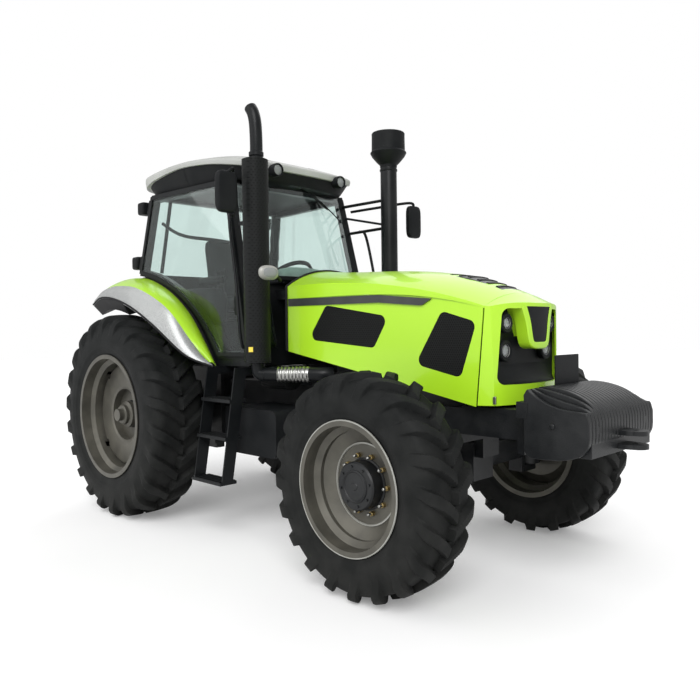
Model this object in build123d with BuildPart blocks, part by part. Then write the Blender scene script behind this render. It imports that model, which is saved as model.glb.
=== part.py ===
from build123d import *
import os
from math import asin, cos, degrees, radians, sin, sqrt, tan

os.makedirs("parts", exist_ok=True)

# Farm tractor, four-wheel drive, full size, in millimetres.
# +X points forward, +Y to the driver's left, +Z up. The ground is z = 0 and the
# origin lies mid-length and mid-width. Left-hand pieces are drawn; right-hand
# ones are their mirror image.

# ---------------------------------------------------------------- driving dimensions
wheelbase = 2767
nose_reach = 3985  # rear axle to the front of the tow hook
hitch_reach = 1240  # rear axle to the back of the lower-link balls
rear_x = (hitch_reach - nose_reach) / 2  # rear axle
front_x = rear_x + wheelbase  # front axle
running_gap = 0.3  # between pieces that turn or slide on each other
flush_gap = 6  # between body panels that open

# tyres and rims
rear_tyre_radius = 838
rear_tyre_width = 466
rear_rim_radius = 508  # over the flanges
rear_rim_width = 436
rear_wheel_y = 932  # mid-plane of the wheel
front_tyre_radius = 644
front_tyre_width = 376
front_rim_radius = 381
front_rim_width = 360
front_wheel_y = 937
flange_height = 25
rim_wall = 9
well_depth = 38
tyre_wall = 26
tread_wall = 60
lug_height = 36

# axles
axle_shaft_radius = 50
trumpet_inner_radius = 165
trumpet_outer_radius = 105
centre_housing_half = 250
trumpet_end_y = 690
kingpin_y = 790
kingpin_radius = 26
knuckle_radius = 92
knuckle_half_height = 120
yoke_thickness = 46
yoke_width = 150
front_hub_radius = 137
hub_inset = 50  # wheel mid-plane to the hub's inner face
spindle_radius = 60
pivot_radius = 40
steer_arm = 225  # kingpin back to the steering rod's eye

# cab
sill_z = 1330
cab_rear_x = rear_x - 150
cab_front_x = rear_x + 1330
cab_height = 1370  # sill to the underside of the roof
side_y = 785  # outer face of the frame at the rear edge of the sill
side_lean = 0.06  # inward for each unit of height
side_taper = 0.078  # inward for each unit forward
pillar_depth = 60
floor_z = 1290
floor_thickness = 30
deck_z = 1600
wall = 30
cab_post_y = 580
frame_margin = 14  # side frame outside the door opening
frame_lap = 46  # side frame inside it
door_thickness = 22
glass_thickness = 6

# hood
hood_rear_x = rear_x + 1500
hood_front_x = rear_x + 3205
hood_half_rear = 450
hood_half_front = 396
panel = 6
hinge_x = hood_rear_x + 10
hinge_z = 1880
hinge_pin_radius = 12

# chassis
rail_outer = 330
rail_thickness = 45
rail_top = 1040
rail_bottom = 880
rail_rear_x = rear_x + 1560
bolster_front_x = rear_x + 3420


def at(distance):
    """X of a place that lies this far ahead of the rear axle."""
    return rear_x + distance


def strut(start, end, width, depth):
    """Square bar from start to end; width runs level, depth upright."""
    run = Vector(*end) - Vector(*start)
    level = Vector(0, 0, 1).cross(run)
    if level.length < 1e-6 * run.length:
        level = Vector(0, 1, 0)
    with BuildSketch(Plane(origin=start, x_dir=level, z_dir=run)) as section:
        Rectangle(width, depth)
    extrude(section.sketch, amount=run.length)


def rod(start, end, radius, mode=Mode.ADD):
    """Round bar from start to end."""
    run = Vector(*end) - Vector(*start)
    level = Vector(1, 0, 0) if abs(run.X) < 0.9 * run.length else Vector(0, 1, 0)
    with BuildSketch(Plane(origin=start, x_dir=level.cross(run), z_dir=run)) as section:
        Circle(radius)
    extrude(section.sketch, amount=run.length, mode=mode)


def block(low, high, mode=Mode.ADD):
    """Box between two corners."""
    with BuildSketch(Plane.XY.offset(low[2])) as footprint:
        with Locations(((low[0] + high[0]) / 2, (low[1] + high[1]) / 2)):
            Rectangle(high[0] - low[0], high[1] - low[1])
    extrude(footprint.sketch, amount=high[2] - low[2], mode=mode)


def cross_bar(place, near, far, radius, mode=Mode.ADD):
    """Round bar along Y between two distances from the middle."""
    with BuildSketch(Plane.XZ.offset(-near)) as section:
        with Locations(place):
            Circle(radius)
    extrude(section.sketch, amount=-(far - near), mode=mode)


def outline(plane, points):
    """Closed straight-sided face on a plane."""
    with BuildSketch(plane) as face:
        with BuildLine():
            Polyline(*points, close=True)
        make_face()
    return face.sketch


def rounded(plane, points, radius):
    """Closed face on a plane whose corners are rounded."""
    with BuildSketch(plane) as face:
        with BuildLine():
            Polyline(*points, close=True)
        make_face()
        fillet(face.vertices(), radius)
    return face.sketch


def save(piece, name):
    piece.part.label = name
    export_step(piece.part, f"parts/{name}.step")


def mirrored(piece):
    """The right-hand twin of a left-hand piece."""
    with BuildPart() as twin:
        add(mirror(piece.part, about=Plane.XZ))
    return twin


# ---------------------------------------------------------------- wheels
def wheel_plane(x, y, radius):
    """Local X is the wheel's radius, local Y runs outward along its axle."""
    return Plane(origin=(x, y, radius), x_dir=(1, 0, 0), z_dir=(0, 0, 1))


def wheel_axis(x, radius):
    return Axis((x, 0, radius), (0, 1, 0))


# Plan of one lug on the outer half of the tread, as shares of the half-width:
# distance outward, middle of the lug ahead of its own middle, breadth along the tread
lug_plan = [
    (-0.07, 0.42, 0.30),
    (0.26, 0.14, 0.27),
    (0.62, -0.12, 0.25),
    (1.005, -0.34, 0.27),
]
lug_root = 60  # how deep a lug is sunk into the carcass at the crown
lug_counts = {"rear": 22, "front": 20}


def tyre(x, y, radius, width, rim_radius, rim_width, lug_count):
    """Carcass turned about the axle, with two staggered rows of slanted lugs."""
    seat = rim_radius - flange_height + running_gap
    bead = rim_width / 2 - rim_wall - running_gap
    toe = bead - 46
    half = width / 2
    carcass = radius - lug_height
    bulge = seat + 0.45 * (carcass - seat)
    crown = radius - tread_wall
    inner_half = half - tyre_wall
    with BuildPart() as casing:
        with BuildSketch(wheel_plane(x, y, radius)):
            with BuildLine():
                Polyline((seat, toe), (seat, bead), (rim_radius, bead))
                ThreePointArc((rim_radius, bead), (bulge, half), (carcass - 20, half - 20))
                Polyline((carcass - 20, half - 20), (carcass, 0.5 * half), (carcass, -0.5 * half),
                         (carcass - 20, 20 - half))
                ThreePointArc((carcass - 20, 20 - half), (bulge, -half), (rim_radius, -bead))
                Polyline((rim_radius, -bead), (seat, -bead), (seat, -toe), (bulge, -inner_half),
                         (crown, 50 - inner_half), (crown, inner_half - 50), (bulge, inner_half), (seat, toe))
            make_face()
        revolve(axis=wheel_axis(x, radius))
    leading = [(half * (ahead + wide / 2), half * out) for out, ahead, wide in lug_plan]
    trailing = [(half * (ahead - wide / 2), half * out) for out, ahead, wide in lug_plan]
    tread_plane = Plane(origin=(x, y, radius + carcass - lug_root))
    with BuildPart() as lug:
        extrude(outline(tread_plane, leading + trailing[::-1]), amount=lug_root + lug_height)
    inner_lug = mirror(lug.part, about=Plane.XZ.offset(-y))
    axle = wheel_axis(x, radius)
    step = 360 / lug_count
    outer_row = [lug.part.rotate(axle, step * place) for place in range(lug_count)]
    inner_row = [inner_lug.rotate(axle, step * (place + 0.5)) for place in range(lug_count)]
    with BuildPart() as body:
        add(casing.part)
        add([*outer_row, *inner_row])
    return body


def rim_barrel(x, y, radius, rim_radius, rim_width):
    """Flanges, bead seats and drop centre, as one turned ring."""
    half = rim_width / 2
    seat = rim_radius - flange_height
    well = seat - well_depth
    outer = [
        (rim_radius, half),
        (rim_radius, half - rim_wall),
        (seat, half - rim_wall),
        (seat - 4, half - 75),
        (well, half - 100),
    ]
    inner = [
        (well - rim_wall, half - 103),
        (seat - 4 - rim_wall, half - 78),
        (seat - rim_wall, half),
    ]
    right = [(r, -w) for r, w in reversed(outer)]
    right_inner = [(r, -w) for r, w in reversed(inner)]
    outline_points = outer + right + right_inner + inner
    add_face = outline(wheel_plane(x, y, radius), outline_points)
    revolve(add_face, axis=wheel_axis(x, radius))


def turned(x, y, radius, points):
    """Adds a solid turned about the wheel's axle; points are (radius, outward)."""
    revolve(outline(wheel_plane(x, y, radius), points), axis=wheel_axis(x, radius))


rear_well = rear_rim_radius - flange_height - well_depth - rim_wall
rear_disc_radius = 415
rear_hole_radius = 215
rear_hub_radius = 110
disc_face = 62
notch_count = 4  # half-round gaps between the disc's edge and the barrel
notch_start = 40
notch_radius = 34
with BuildPart() as rim_rear_left:
    rim_barrel(rear_x, rear_wheel_y, rear_tyre_radius, rear_rim_radius, rear_rim_width)
    wheel = (rear_x, rear_wheel_y, rear_tyre_radius)
    turned(*wheel, [(rear_disc_radius - 10, 18), (rear_well + 4, 18), (rear_well + 4, 32), (rear_disc_radius - 10, 32)])
    turned(*wheel, [
        (rear_disc_radius, disc_face - 30),
        (rear_disc_radius, disc_face - 6),
        (rear_disc_radius - 12, disc_face),
        (rear_hole_radius + 20, disc_face),
        (rear_hole_radius, disc_face - 8),
        (rear_hole_radius, disc_face - 70),
        (axle_shaft_radius, disc_face - 70),
        (axle_shaft_radius, disc_face - 98),
        (rear_hole_radius + 16, disc_face - 98),
        (rear_hole_radius + 34, disc_face - 30),
    ])
    with BuildSketch(Plane.XZ.offset(-rear_wheel_y)):
        with Locations((rear_x, rear_tyre_radius)):
            with PolarLocations(rear_disc_radius + 4, notch_count, start_angle=notch_start):
                Circle(notch_radius)
    extrude(amount=-disc_face - 10, mode=Mode.SUBTRACT)
    turned(*wheel, [
        (0, -20),
        (rear_hub_radius, -20),
        (rear_hub_radius, 46),
        (rear_hub_radius - 28, 58),
        (rear_hub_radius - 28, 84),
        (rear_hub_radius - 40, 94),
        (0, 94),
    ])
    turned(*wheel, [(0, 0), (0, 130), (axle_shaft_radius, 130), (axle_shaft_radius, -400), (0, -400)])
save(rim_rear_left, "rim_rear_left")
save(mirrored(rim_rear_left), "rim_rear_right")

front_well = front_rim_radius - flange_height - well_depth - rim_wall
front_disc_radius = 240
with BuildPart() as rim_front_left:
    wheel = (front_x, front_wheel_y, front_tyre_radius)
    rim_barrel(*wheel, front_rim_radius, front_rim_width)
    turned(*wheel, [
        (front_hub_radius - 10, -6),
        (front_disc_radius, -6),
        (front_well + 4, 40),
        (front_well + 4, 56),
        (front_disc_radius - 6, 8),
        (front_hub_radius - 10, 8),
    ])
    turned(*wheel, [
        (spindle_radius + running_gap, -hub_inset),
        (front_hub_radius - 24, -hub_inset),
        (front_hub_radius, 26 - hub_inset),
        (front_hub_radius, 84),
        (front_hub_radius - 16, 100),
        (0, 100),
        (0, 20 + running_gap),
        (spindle_radius + running_gap, 20 + running_gap),
    ])
save(rim_front_left, "rim_front_left")
save(mirrored(rim_front_left), "rim_front_right")

rear_tyre = tyre(rear_x, rear_wheel_y, rear_tyre_radius, rear_tyre_width, rear_rim_radius,
                 rear_rim_width, lug_counts["rear"])
save(rear_tyre, "tyre_rear_left")
save(mirrored(rear_tyre), "tyre_rear_right")
front_tyre = tyre(front_x, front_wheel_y, front_tyre_radius, front_tyre_width, front_rim_radius,
                  front_rim_width, lug_counts["front"])
save(front_tyre, "tyre_front_left")
save(mirrored(front_tyre), "tyre_front_right")

# ---------------------------------------------------------------- driveline
gearbox_half = 210
gearbox_top = 1110
gearbox_bottom = 620
bell_rear_x = at(1400)
engine_rear_x = at(1800)
engine_front_x = at(2950)
engine_top = 1500
engine_half = 235
engine_bottom = rail_bottom + 15
bell_half = 270
centre_front_x = at(330)
centre_rear_x = at(-400)
centre_bottom = 590
centre_top = 1210
pto_z = 660
pto_radius = 17.5
pto_length = 90
pto_seat_radius = 24
lower_pivot = (at(-260), 640)
lower_pivot_y = 300
lower_pin_radius = 20
lift_pivot = (at(-300), 1320)
lift_shaft_radius = 45
top_pivot = (at(-445), 980)
top_pin_radius = 16
top_eye_half = 25.5
with BuildPart() as transmission_housing:
    block((bell_rear_x, -bell_half, gearbox_bottom - 20), (engine_rear_x, bell_half, gearbox_top + 70))
    block((centre_front_x, -gearbox_half, gearbox_bottom), (bell_rear_x, gearbox_half, gearbox_top))
    block((centre_rear_x, -centre_housing_half, centre_bottom), (centre_front_x, centre_housing_half, centre_top))
    block((centre_rear_x, -190, centre_top), (at(60), 190, 1400))
    with BuildSketch(Plane.YZ.offset(centre_rear_x)):
        with Locations((0, pto_z)):
            Circle(pto_seat_radius + running_gap)
    extrude(amount=120, mode=Mode.SUBTRACT)
    for side in (-1, 1):
        near, far = sorted((side * (bell_half - 5), side * (bell_half + 160)))
        block((bell_rear_x + 60, near, gearbox_top), (bell_rear_x + 150, far, gearbox_top + 60))
        near, far = sorted((side * (bell_half + 70), side * (bell_half + 150)))
        block((bell_rear_x + 60, near, gearbox_top), (bell_rear_x + 150, far, floor_z - floor_thickness))
    cross_bar(lift_pivot, -200, 200, lift_shaft_radius + running_gap, mode=Mode.SUBTRACT)
    for side in (-1, 1):
        near, far = sorted((side * (centre_housing_half - 5), side * (lower_pivot_y + 24)))
        cross_bar(lower_pivot, near, far, lower_pin_radius)
        near, far = sorted((side * (top_eye_half + running_gap), side * (top_eye_half + 20)))
        block((top_pivot[0] - 40, near, top_pivot[1] - 45), (centre_rear_x + 5, far, top_pivot[1] + 45))
    cross_bar(top_pivot, -top_eye_half - 20, top_eye_half + 20, top_pin_radius)
save(transmission_housing, "transmission_housing")

with BuildPart() as pto_shaft:
    rod((centre_rear_x + 119, 0, pto_z), (centre_rear_x, 0, pto_z), pto_seat_radius)
    rod((centre_rear_x, 0, pto_z), (centre_rear_x - pto_length, 0, pto_z), pto_radius)
save(pto_shaft, "pto_shaft")

with BuildPart() as engine_block:
    block((engine_rear_x, -engine_half, engine_bottom), (engine_front_x, engine_half, engine_top))
save(engine_block, "engine_block")

with BuildPart() as rear_axle_housing:
    trumpet = [
        (0, centre_housing_half),
        (trumpet_inner_radius, centre_housing_half),
        (trumpet_inner_radius, centre_housing_half + 40),
        (trumpet_outer_radius, centre_housing_half + 160),
        (trumpet_outer_radius, trumpet_end_y - 40),
        (trumpet_outer_radius + 20, trumpet_end_y - 40),
        (trumpet_outer_radius + 20, trumpet_end_y),
        (axle_shaft_radius + running_gap, trumpet_end_y),
        (axle_shaft_radius + running_gap, trumpet_end_y - 165),
        (0, trumpet_end_y - 165),
    ]
    turned(rear_x, 0, rear_tyre_radius, trumpet)
    mirror(about=Plane.XZ)
    for side in (-1, 1):
        near, far = sorted((side * (cab_post_y - 35), side * (cab_post_y + 35)))
        block((at(-40), near, rear_tyre_radius + 60), (at(30), far, deck_z - wall))
save(rear_axle_housing, "rear_axle_housing")

# ---------------------------------------------------------------- chassis frame
pivot_z = 760
ear_thickness = 60
ear_inner = 150  # axle centre to the inner face of each hanging ear
ear_half = 90
carrier_half = 415
carrier_top = 1110
hook_z = 900
hook_pin_radius = 16
with BuildPart() as chassis_frame:
    for side in (-1, 1):
        inner, outer = sorted((side * (rail_outer - rail_thickness), side * rail_outer))
        block((rail_rear_x, inner, rail_bottom), (bolster_front_x, outer, rail_top))
        near, far = sorted((side * bell_half, side * (rail_outer - rail_thickness)))
        block((engine_rear_x - 120, near, rail_bottom), (engine_rear_x, far, rail_top))
    for ear_x in (front_x - ear_inner - ear_thickness, front_x + ear_inner):
        block((ear_x, -rail_outer, rail_bottom - 60), (ear_x + ear_thickness, rail_outer, rail_bottom - 50 + 60))
        block((ear_x, -ear_half, pivot_z - 64), (ear_x + ear_thickness, ear_half, rail_bottom - 50))
    block((engine_front_x + 40, -rail_outer, rail_top), (bolster_front_x, rail_outer, rail_top + 13))
    block((bolster_front_x - 45, -rail_outer, 800), (bolster_front_x, rail_outer, rail_top + 13))
    block((bolster_front_x, -carrier_half, 1020), (bolster_front_x + 70, carrier_half, carrier_top))
    block((bolster_front_x, -90, 850), (at(3830), 90, 950))
    for top, bottom in ((950, 925), (875, 850)):
        with BuildSketch(Plane.XY.offset(bottom)):
            with Locations((at(3830), 0)):
                Rectangle(60, 140, align=(Align.MIN, Align.CENTER))
            with Locations((at(3890), 0)):
                Circle(70)
            with Locations((at(nose_reach - 60), 0)):
                Circle(60)
            with Locations((at(nose_reach - 70), 0)):
                Circle(hook_pin_radius, mode=Mode.SUBTRACT)
        extrude(amount=top - bottom)
    with BuildSketch(Plane.YZ.offset(front_x - ear_inner - ear_thickness)):
        with Locations((0, pivot_z)):
            Circle(pivot_radius + running_gap)
    extrude(amount=2 * ear_inner + 2 * ear_thickness, mode=Mode.SUBTRACT)
save(chassis_frame, "chassis_frame")

# ---------------------------------------------------------------- front axle
yoke_inner = knuckle_half_height + running_gap
rod_x = front_x - steer_arm
with BuildPart() as front_axle_beam:
    rod((front_x - ear_inner - ear_thickness, 0, pivot_z), (front_x + ear_inner + ear_thickness, 0, pivot_z), pivot_radius)
    block((front_x - ear_inner + 1, -110, 540), (front_x + ear_inner - 1, 110, pivot_z + 30))
    for side in (-1, 1):
        rod((front_x, side * 100, front_tyre_radius), (front_x, side * (kingpin_y - 130), front_tyre_radius), 76)
        inner, outer = sorted((side * (kingpin_y - 165), side * (kingpin_y - 125)))
        block((front_x - 56, inner, front_tyre_radius - yoke_inner - yoke_thickness),
              (front_x + 56, outer, front_tyre_radius + yoke_inner + yoke_thickness))
        for low in (yoke_inner, -yoke_inner - yoke_thickness):
            near, far = sorted((side * (kingpin_y - 140), side * kingpin_y))
            block((front_x - 60, near, front_tyre_radius + low), (front_x + 60, far, front_tyre_radius + low + yoke_thickness))
            with BuildSketch(Plane.XY.offset(front_tyre_radius + low)):
                with Locations((front_x, side * kingpin_y)):
                    Circle(60)
            extrude(amount=yoke_thickness)
            with BuildSketch(Plane.XY.offset(front_tyre_radius + low)):
                with Locations((front_x, side * kingpin_y)):
                    Circle(kingpin_radius + running_gap)
            extrude(amount=yoke_thickness, mode=Mode.SUBTRACT)
    rod((rod_x, -190, front_tyre_radius), (rod_x, 190, front_tyre_radius), 45)
    block((rod_x, -60, front_tyre_radius - 30), (front_x - ear_inner + 2, 60, front_tyre_radius + 30))
    with BuildSketch(Plane.XZ.offset(-190)):
        with Locations((rod_x, front_tyre_radius)):
            Circle(18 + running_gap)
    extrude(amount=380, mode=Mode.SUBTRACT)
save(front_axle_beam, "front_axle_beam")

arm_y = kingpin_y - 60
arm_top = front_tyre_radius + 24
with BuildPart() as knuckle_left:
    rod((front_x, kingpin_y, front_tyre_radius - knuckle_half_height), (front_x, kingpin_y, front_tyre_radius + knuckle_half_height), knuckle_radius)
    rod((front_x, kingpin_y, front_tyre_radius - yoke_inner - yoke_thickness), (front_x, kingpin_y, front_tyre_radius + yoke_inner + yoke_thickness), kingpin_radius)
    rod((front_x, kingpin_y, front_tyre_radius), (front_x, front_wheel_y - hub_inset - 2, front_tyre_radius), 110)
    rod((front_x, kingpin_y, front_tyre_radius), (front_x, front_wheel_y + 20, front_tyre_radius), spindle_radius)
    strut((front_x - 40, kingpin_y, arm_top + 14), (rod_x, arm_y, arm_top + 14), 46, 28)
    with BuildSketch(Plane.XY.offset(arm_top)):
        with Locations((rod_x, arm_y)):
            Circle(28)
    extrude(amount=28)
save(knuckle_left, "knuckle_left")
save(mirrored(knuckle_left), "knuckle_right")

with BuildPart() as steering_rod:
    rod((rod_x, -arm_y, front_tyre_radius), (rod_x, arm_y, front_tyre_radius), 18)
    for side in (-1, 1):
        with BuildSketch(Plane.XY.offset(front_tyre_radius - 24)):
            with Locations((rod_x, side * arm_y)):
                Circle(30)
        extrude(amount=24 + 24 - running_gap)
save(steering_rod, "steering_rod")

# ---------------------------------------------------------------- cab side frames and doors
# The side plane leans inward with height and inward toward the front. Its local
# x runs forward from the rear edge and its local y up from the sill.
inward = Vector(-side_taper, -1, -side_lean)
side_plane = Plane(origin=(cab_rear_x, side_y, sill_z), x_dir=(1, -side_taper, 0), z_dir=inward)
side_length = cab_front_x - cab_rear_x

# door outline: front foot, rear foot, middle and top of the wheel-arch edge,
# rear top, front top
foot_front = (side_length, 0)
foot_rear = (1120, 0)
arch_middle = (660, 455)
arch_top = (15, 705)
head_rear = (150, cab_height)
head_front = (side_length - 320, cab_height)


def side_opening(inset, plane):
    """Face of the door's outline, inset by a margin."""
    with BuildSketch(plane) as face:
        with BuildLine():
            Line(foot_front, foot_rear)
            ThreePointArc(foot_rear, arch_middle, arch_top)
            Polyline(arch_top, head_rear, head_front, foot_front)
        make_face()
        offset(amount=-inset, kind=Kind.INTERSECTION)
    return face.sketch


# The door's two hinges stand on a line just behind its rear edge.
hinge_run = Vector(*head_rear) - Vector(*arch_top)
hinge_out = Vector(-hinge_run.Y, hinge_run.X).normalized() * 10
hinge_shares = (0.14, 0.86)
barrel_radius = 9
barrel_half = 26
barrel_pin_radius = 5


def on_hinge(share, shift=0.0, depth=-door_thickness / 2, toward_door=0.0):
    """Place on the hinge line: share of its run, shift along it, depth inward."""
    flat = Vector(*arch_top) + hinge_run * share + hinge_run.normalized() * shift + hinge_out
    flat = flat - hinge_out.normalized() * toward_door
    return side_plane.from_local_coords(Vector(flat.X, flat.Y, depth))


with BuildPart() as side_frame_left:
    extrude(side_opening(-frame_margin, side_plane), amount=pillar_depth)
    extrude(side_opening(frame_lap, side_plane), amount=pillar_depth, mode=Mode.SUBTRACT)
    for share in hinge_shares:
        rod(on_hinge(share, -60), on_hinge(share, 60), barrel_pin_radius)
        for low, high in ((-60, -barrel_half - 1), (barrel_half + 1, 60)):
            rod(on_hinge(share, low), on_hinge(share, high), barrel_radius)
            middle = (low + high) / 2
            strut(on_hinge(share, middle), on_hinge(share, middle, 6), 2 * barrel_radius, high - low - 8)

with BuildPart() as door_frame_left:
    extrude(side_opening(4, side_plane), amount=-door_thickness)
    extrude(side_opening(34, side_plane), amount=-door_thickness, mode=Mode.SUBTRACT)
    extrude(side_opening(4, side_plane), amount=-running_gap, mode=Mode.SUBTRACT)
    for share in hinge_shares:
        rod(on_hinge(share, -barrel_half), on_hinge(share, barrel_half), barrel_radius)
        strut(on_hinge(share), on_hinge(share, toward_door=34), barrel_radius, 2 * barrel_half)
        rod(on_hinge(share, -60), on_hinge(share, 60), barrel_pin_radius + running_gap, mode=Mode.SUBTRACT)
save(door_frame_left, "door_frame_left")
save(mirrored(door_frame_left), "door_frame_right")

glass_plane = side_plane.offset(-(door_thickness - glass_thickness) / 2)
with BuildPart() as door_glass_left:
    extrude(side_opening(34, glass_plane), amount=-glass_thickness)
save(door_glass_left, "door_glass_left")
save(mirrored(door_glass_left), "door_glass_right")


def side_half(x, z):
    """Half-width of the cab's side plane at a place."""
    return side_y - side_taper * (x - cab_rear_x) - side_lean * (z - sill_z)


# ---------------------------------------------------------------- cab frame
deck_x = at(420)
tub_half = 640
rear_wall_half = tub_half + 48  # clear of the tyre's lugs
roof_z = sill_z + cab_height + frame_margin + 2
pillar_setback = 320  # how far the front pillars lean back from sill to roof
front_plane = Plane(
    origin=(cab_front_x, 0, sill_z), x_dir=(0, 1, 0), z_dir=(cab_height, 0, pillar_setback)
)
shield_z = 1950  # foot of the windshield
shield_foot = pillar_setback * (shield_z - sill_z) / cab_height
shield_bow = 110
window_low, window_high = 70, 540
window_near, window_far = 400, 585
rear_window_z = sill_z + 705


def bowed_face(z, setback, half, thickness):
    """Plan-view strip that bows forward between the front pillars."""
    with BuildSketch(Plane.XY.offset(z)) as strip:
        with BuildLine():
            x = cab_front_x - setback
            ThreePointArc((x, -half), (x + shield_bow, 0), (x, half))
            ThreePointArc((x - thickness, -half), (x + shield_bow - thickness, 0), (x - thickness, half))
            Line((x, -half), (x - thickness, -half))
            Line((x, half), (x - thickness, half))
        make_face()
    return strip.sketch


with BuildPart() as cab_frame:
    add(side_frame_left.part)
    with BuildSketch(Plane.XZ.offset(-tub_half)):
        with BuildLine():
            foot = (cab_rear_x + foot_rear[0], sill_z + foot_rear[1])
            crest = (cab_rear_x + arch_top[0], sill_z + arch_top[1])
            Polyline(
                crest,
                (cab_rear_x, deck_z - wall),
                (deck_x, deck_z - wall),
                (deck_x, floor_z - floor_thickness),
                (cab_front_x, floor_z - floor_thickness),
                (cab_front_x, sill_z),
                foot,
            )
            ThreePointArc(foot, (cab_rear_x + arch_middle[0], sill_z + arch_middle[1]), crest)
        make_face()
    extrude(amount=-45)
    mirror(about=Plane.XZ)
    block((deck_x, -tub_half, floor_z - floor_thickness), (cab_front_x, tub_half, floor_z))
    block((deck_x, -tub_half, floor_z - floor_thickness), (deck_x + wall, tub_half, deck_z))
    block((cab_rear_x, -tub_half - 40, deck_z - wall), (deck_x + wall, tub_half + 40, deck_z))
    block((cab_rear_x, -rear_wall_half, deck_z - wall), (cab_rear_x + wall, rear_wall_half, rear_window_z))
    # roof cross-members
    block((cab_rear_x + 150, -660, roof_z - 50), (cab_rear_x + 210, 660, roof_z))
    block((cab_front_x - pillar_setback - 75, -590, roof_z - 50), (cab_front_x - pillar_setback - 15, 590, roof_z))
    # front wall with its two low windows
    with BuildSketch(front_plane):
        Polygon((-665, -70), (665, -70), (640, 600), (-640, 600), align=None)
        with Locations(((window_near + window_far) / 2, (window_low + window_high) / 2),
                       (-(window_near + window_far) / 2, (window_low + window_high) / 2)):
            Rectangle(window_far - window_near, window_high - window_low, mode=Mode.SUBTRACT)
    extrude(amount=-wall)
    # windshield shelf and cowl
    with BuildSketch(Plane.XY.offset(shield_z - 30)):
        with BuildLine():
            x = cab_front_x - shield_foot
            ThreePointArc((x, -640), (x + shield_bow + 20, 0), (x, 640))
            Polyline((x, 640), (x - 60, 640), (x - 60, -640), (x, -640))
        make_face()
    extrude(amount=30)
    block((cab_front_x - 120, -330, hinge_z - 110), (hood_rear_x - 30, 330, hinge_z - 35))
    for side in (-1, 1):
        near, far = sorted((side * 180, side * 200))
        block((hood_rear_x - 60, near, hinge_z - 40), (hinge_x + 14, far, hinge_z + 14))
    cross_bar((hinge_x, hinge_z), -215, 215, hinge_pin_radius)
save(cab_frame, "cab_frame")

with BuildPart() as cab_glass:
    loft([
        bowed_face(shield_z, shield_foot, 575, glass_thickness),
        bowed_face(roof_z - 2, pillar_setback, 545, glass_thickness),
    ])
    with BuildSketch(front_plane.offset(-12)):
        with Locations(((window_near + window_far) / 2, (window_low + window_high) / 2),
                       (-(window_near + window_far) / 2, (window_low + window_high) / 2)):
            Rectangle(window_far - window_near, window_high - window_low)
    extrude(amount=-glass_thickness)
    with BuildSketch(Plane(origin=(cab_rear_x, 0, rear_window_z + 1.5), x_dir=(0, -1, 0), z_dir=(-650, 0, 135))):
        Polygon((-670, 0), (670, 0), (620, 655), (-620, 655), align=None)
    extrude(amount=-glass_thickness)
save(cab_glass, "cab_glass")

# ---------------------------------------------------------------- roof
band_height = 140
cap_height = 120
roof_rear_x = cab_rear_x - 90
roof_front_x = cab_front_x - 160
roof_half_rear = 760
roof_half_front = 680
roof_lamp_y = 338
roof_lamp_z = roof_z + 55
roof_lamp_radius = 50
lamp_back_x = roof_front_x + 40


def roof_face(z, inset):
    """Roof outline in plan, bowed at the front."""
    with BuildSketch(Plane.XY.offset(z)) as face:
        with BuildLine():
            Polyline(
                (roof_front_x - inset, -roof_half_front + inset),
                (roof_rear_x + inset, -roof_half_rear + inset),
                (roof_rear_x + inset, roof_half_rear - inset),
                (roof_front_x - inset, roof_half_front - inset),
            )
            ThreePointArc(
                (roof_front_x - inset, roof_half_front - inset),
                (roof_front_x + 190 - inset, 0),
                (roof_front_x - inset, -roof_half_front + inset),
            )
        make_face()
    return face.sketch


with BuildPart() as roof_band:
    loft([roof_face(roof_z, 60), roof_face(roof_z + band_height, 25)])
    for side in (-1, 1):
        with BuildSketch(Plane.YZ.offset(lamp_back_x)):
            with Locations((side * roof_lamp_y, roof_lamp_z)):
                Circle(roof_lamp_radius + running_gap)
        extrude(amount=200, mode=Mode.SUBTRACT)
save(roof_band, "roof_band")

with BuildPart() as cab_roof:
    loft([roof_face(roof_z + band_height, 0), roof_face(roof_z + band_height + cap_height, 130)])
save(cab_roof, "cab_roof")

# ---------------------------------------------------------------- cab interior
seat_x = at(360)
with BuildPart() as seat:
    block((seat_x - 200, -180, deck_z), (seat_x + 60, 180, deck_z + 110))
    with BuildSketch(Plane.XZ.offset(-250)):
        with BuildLine():
            Polyline((seat_x - 230, deck_z + 110), (seat_x + 200, deck_z + 110))
            ThreePointArc((seat_x + 200, deck_z + 110), (seat_x + 262, deck_z + 170), (seat_x + 200, deck_z + 238))
            Line((seat_x + 200, deck_z + 238), (seat_x - 150, deck_z + 222))
            ThreePointArc((seat_x - 150, deck_z + 222), (seat_x - 168, deck_z + 480), (seat_x - 215, deck_z + 760))
            ThreePointArc((seat_x - 215, deck_z + 760), (seat_x - 262, deck_z + 790), (seat_x - 300, deck_z + 750))
            Line((seat_x - 300, deck_z + 750), (seat_x - 230, deck_z + 110))
        make_face()
    extrude(amount=500)
    for side in (-1, 1):
        near, far = sorted((side * 262, side * 310))
        block((seat_x - 170, near, deck_z + 370), (seat_x + 150, far, deck_z + 410))
        near, far = sorted((side * 240, side * 290))
        block((seat_x - 215, near, deck_z + 340), (seat_x - 150, far, deck_z + 410))
save(seat, "seat")

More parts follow.
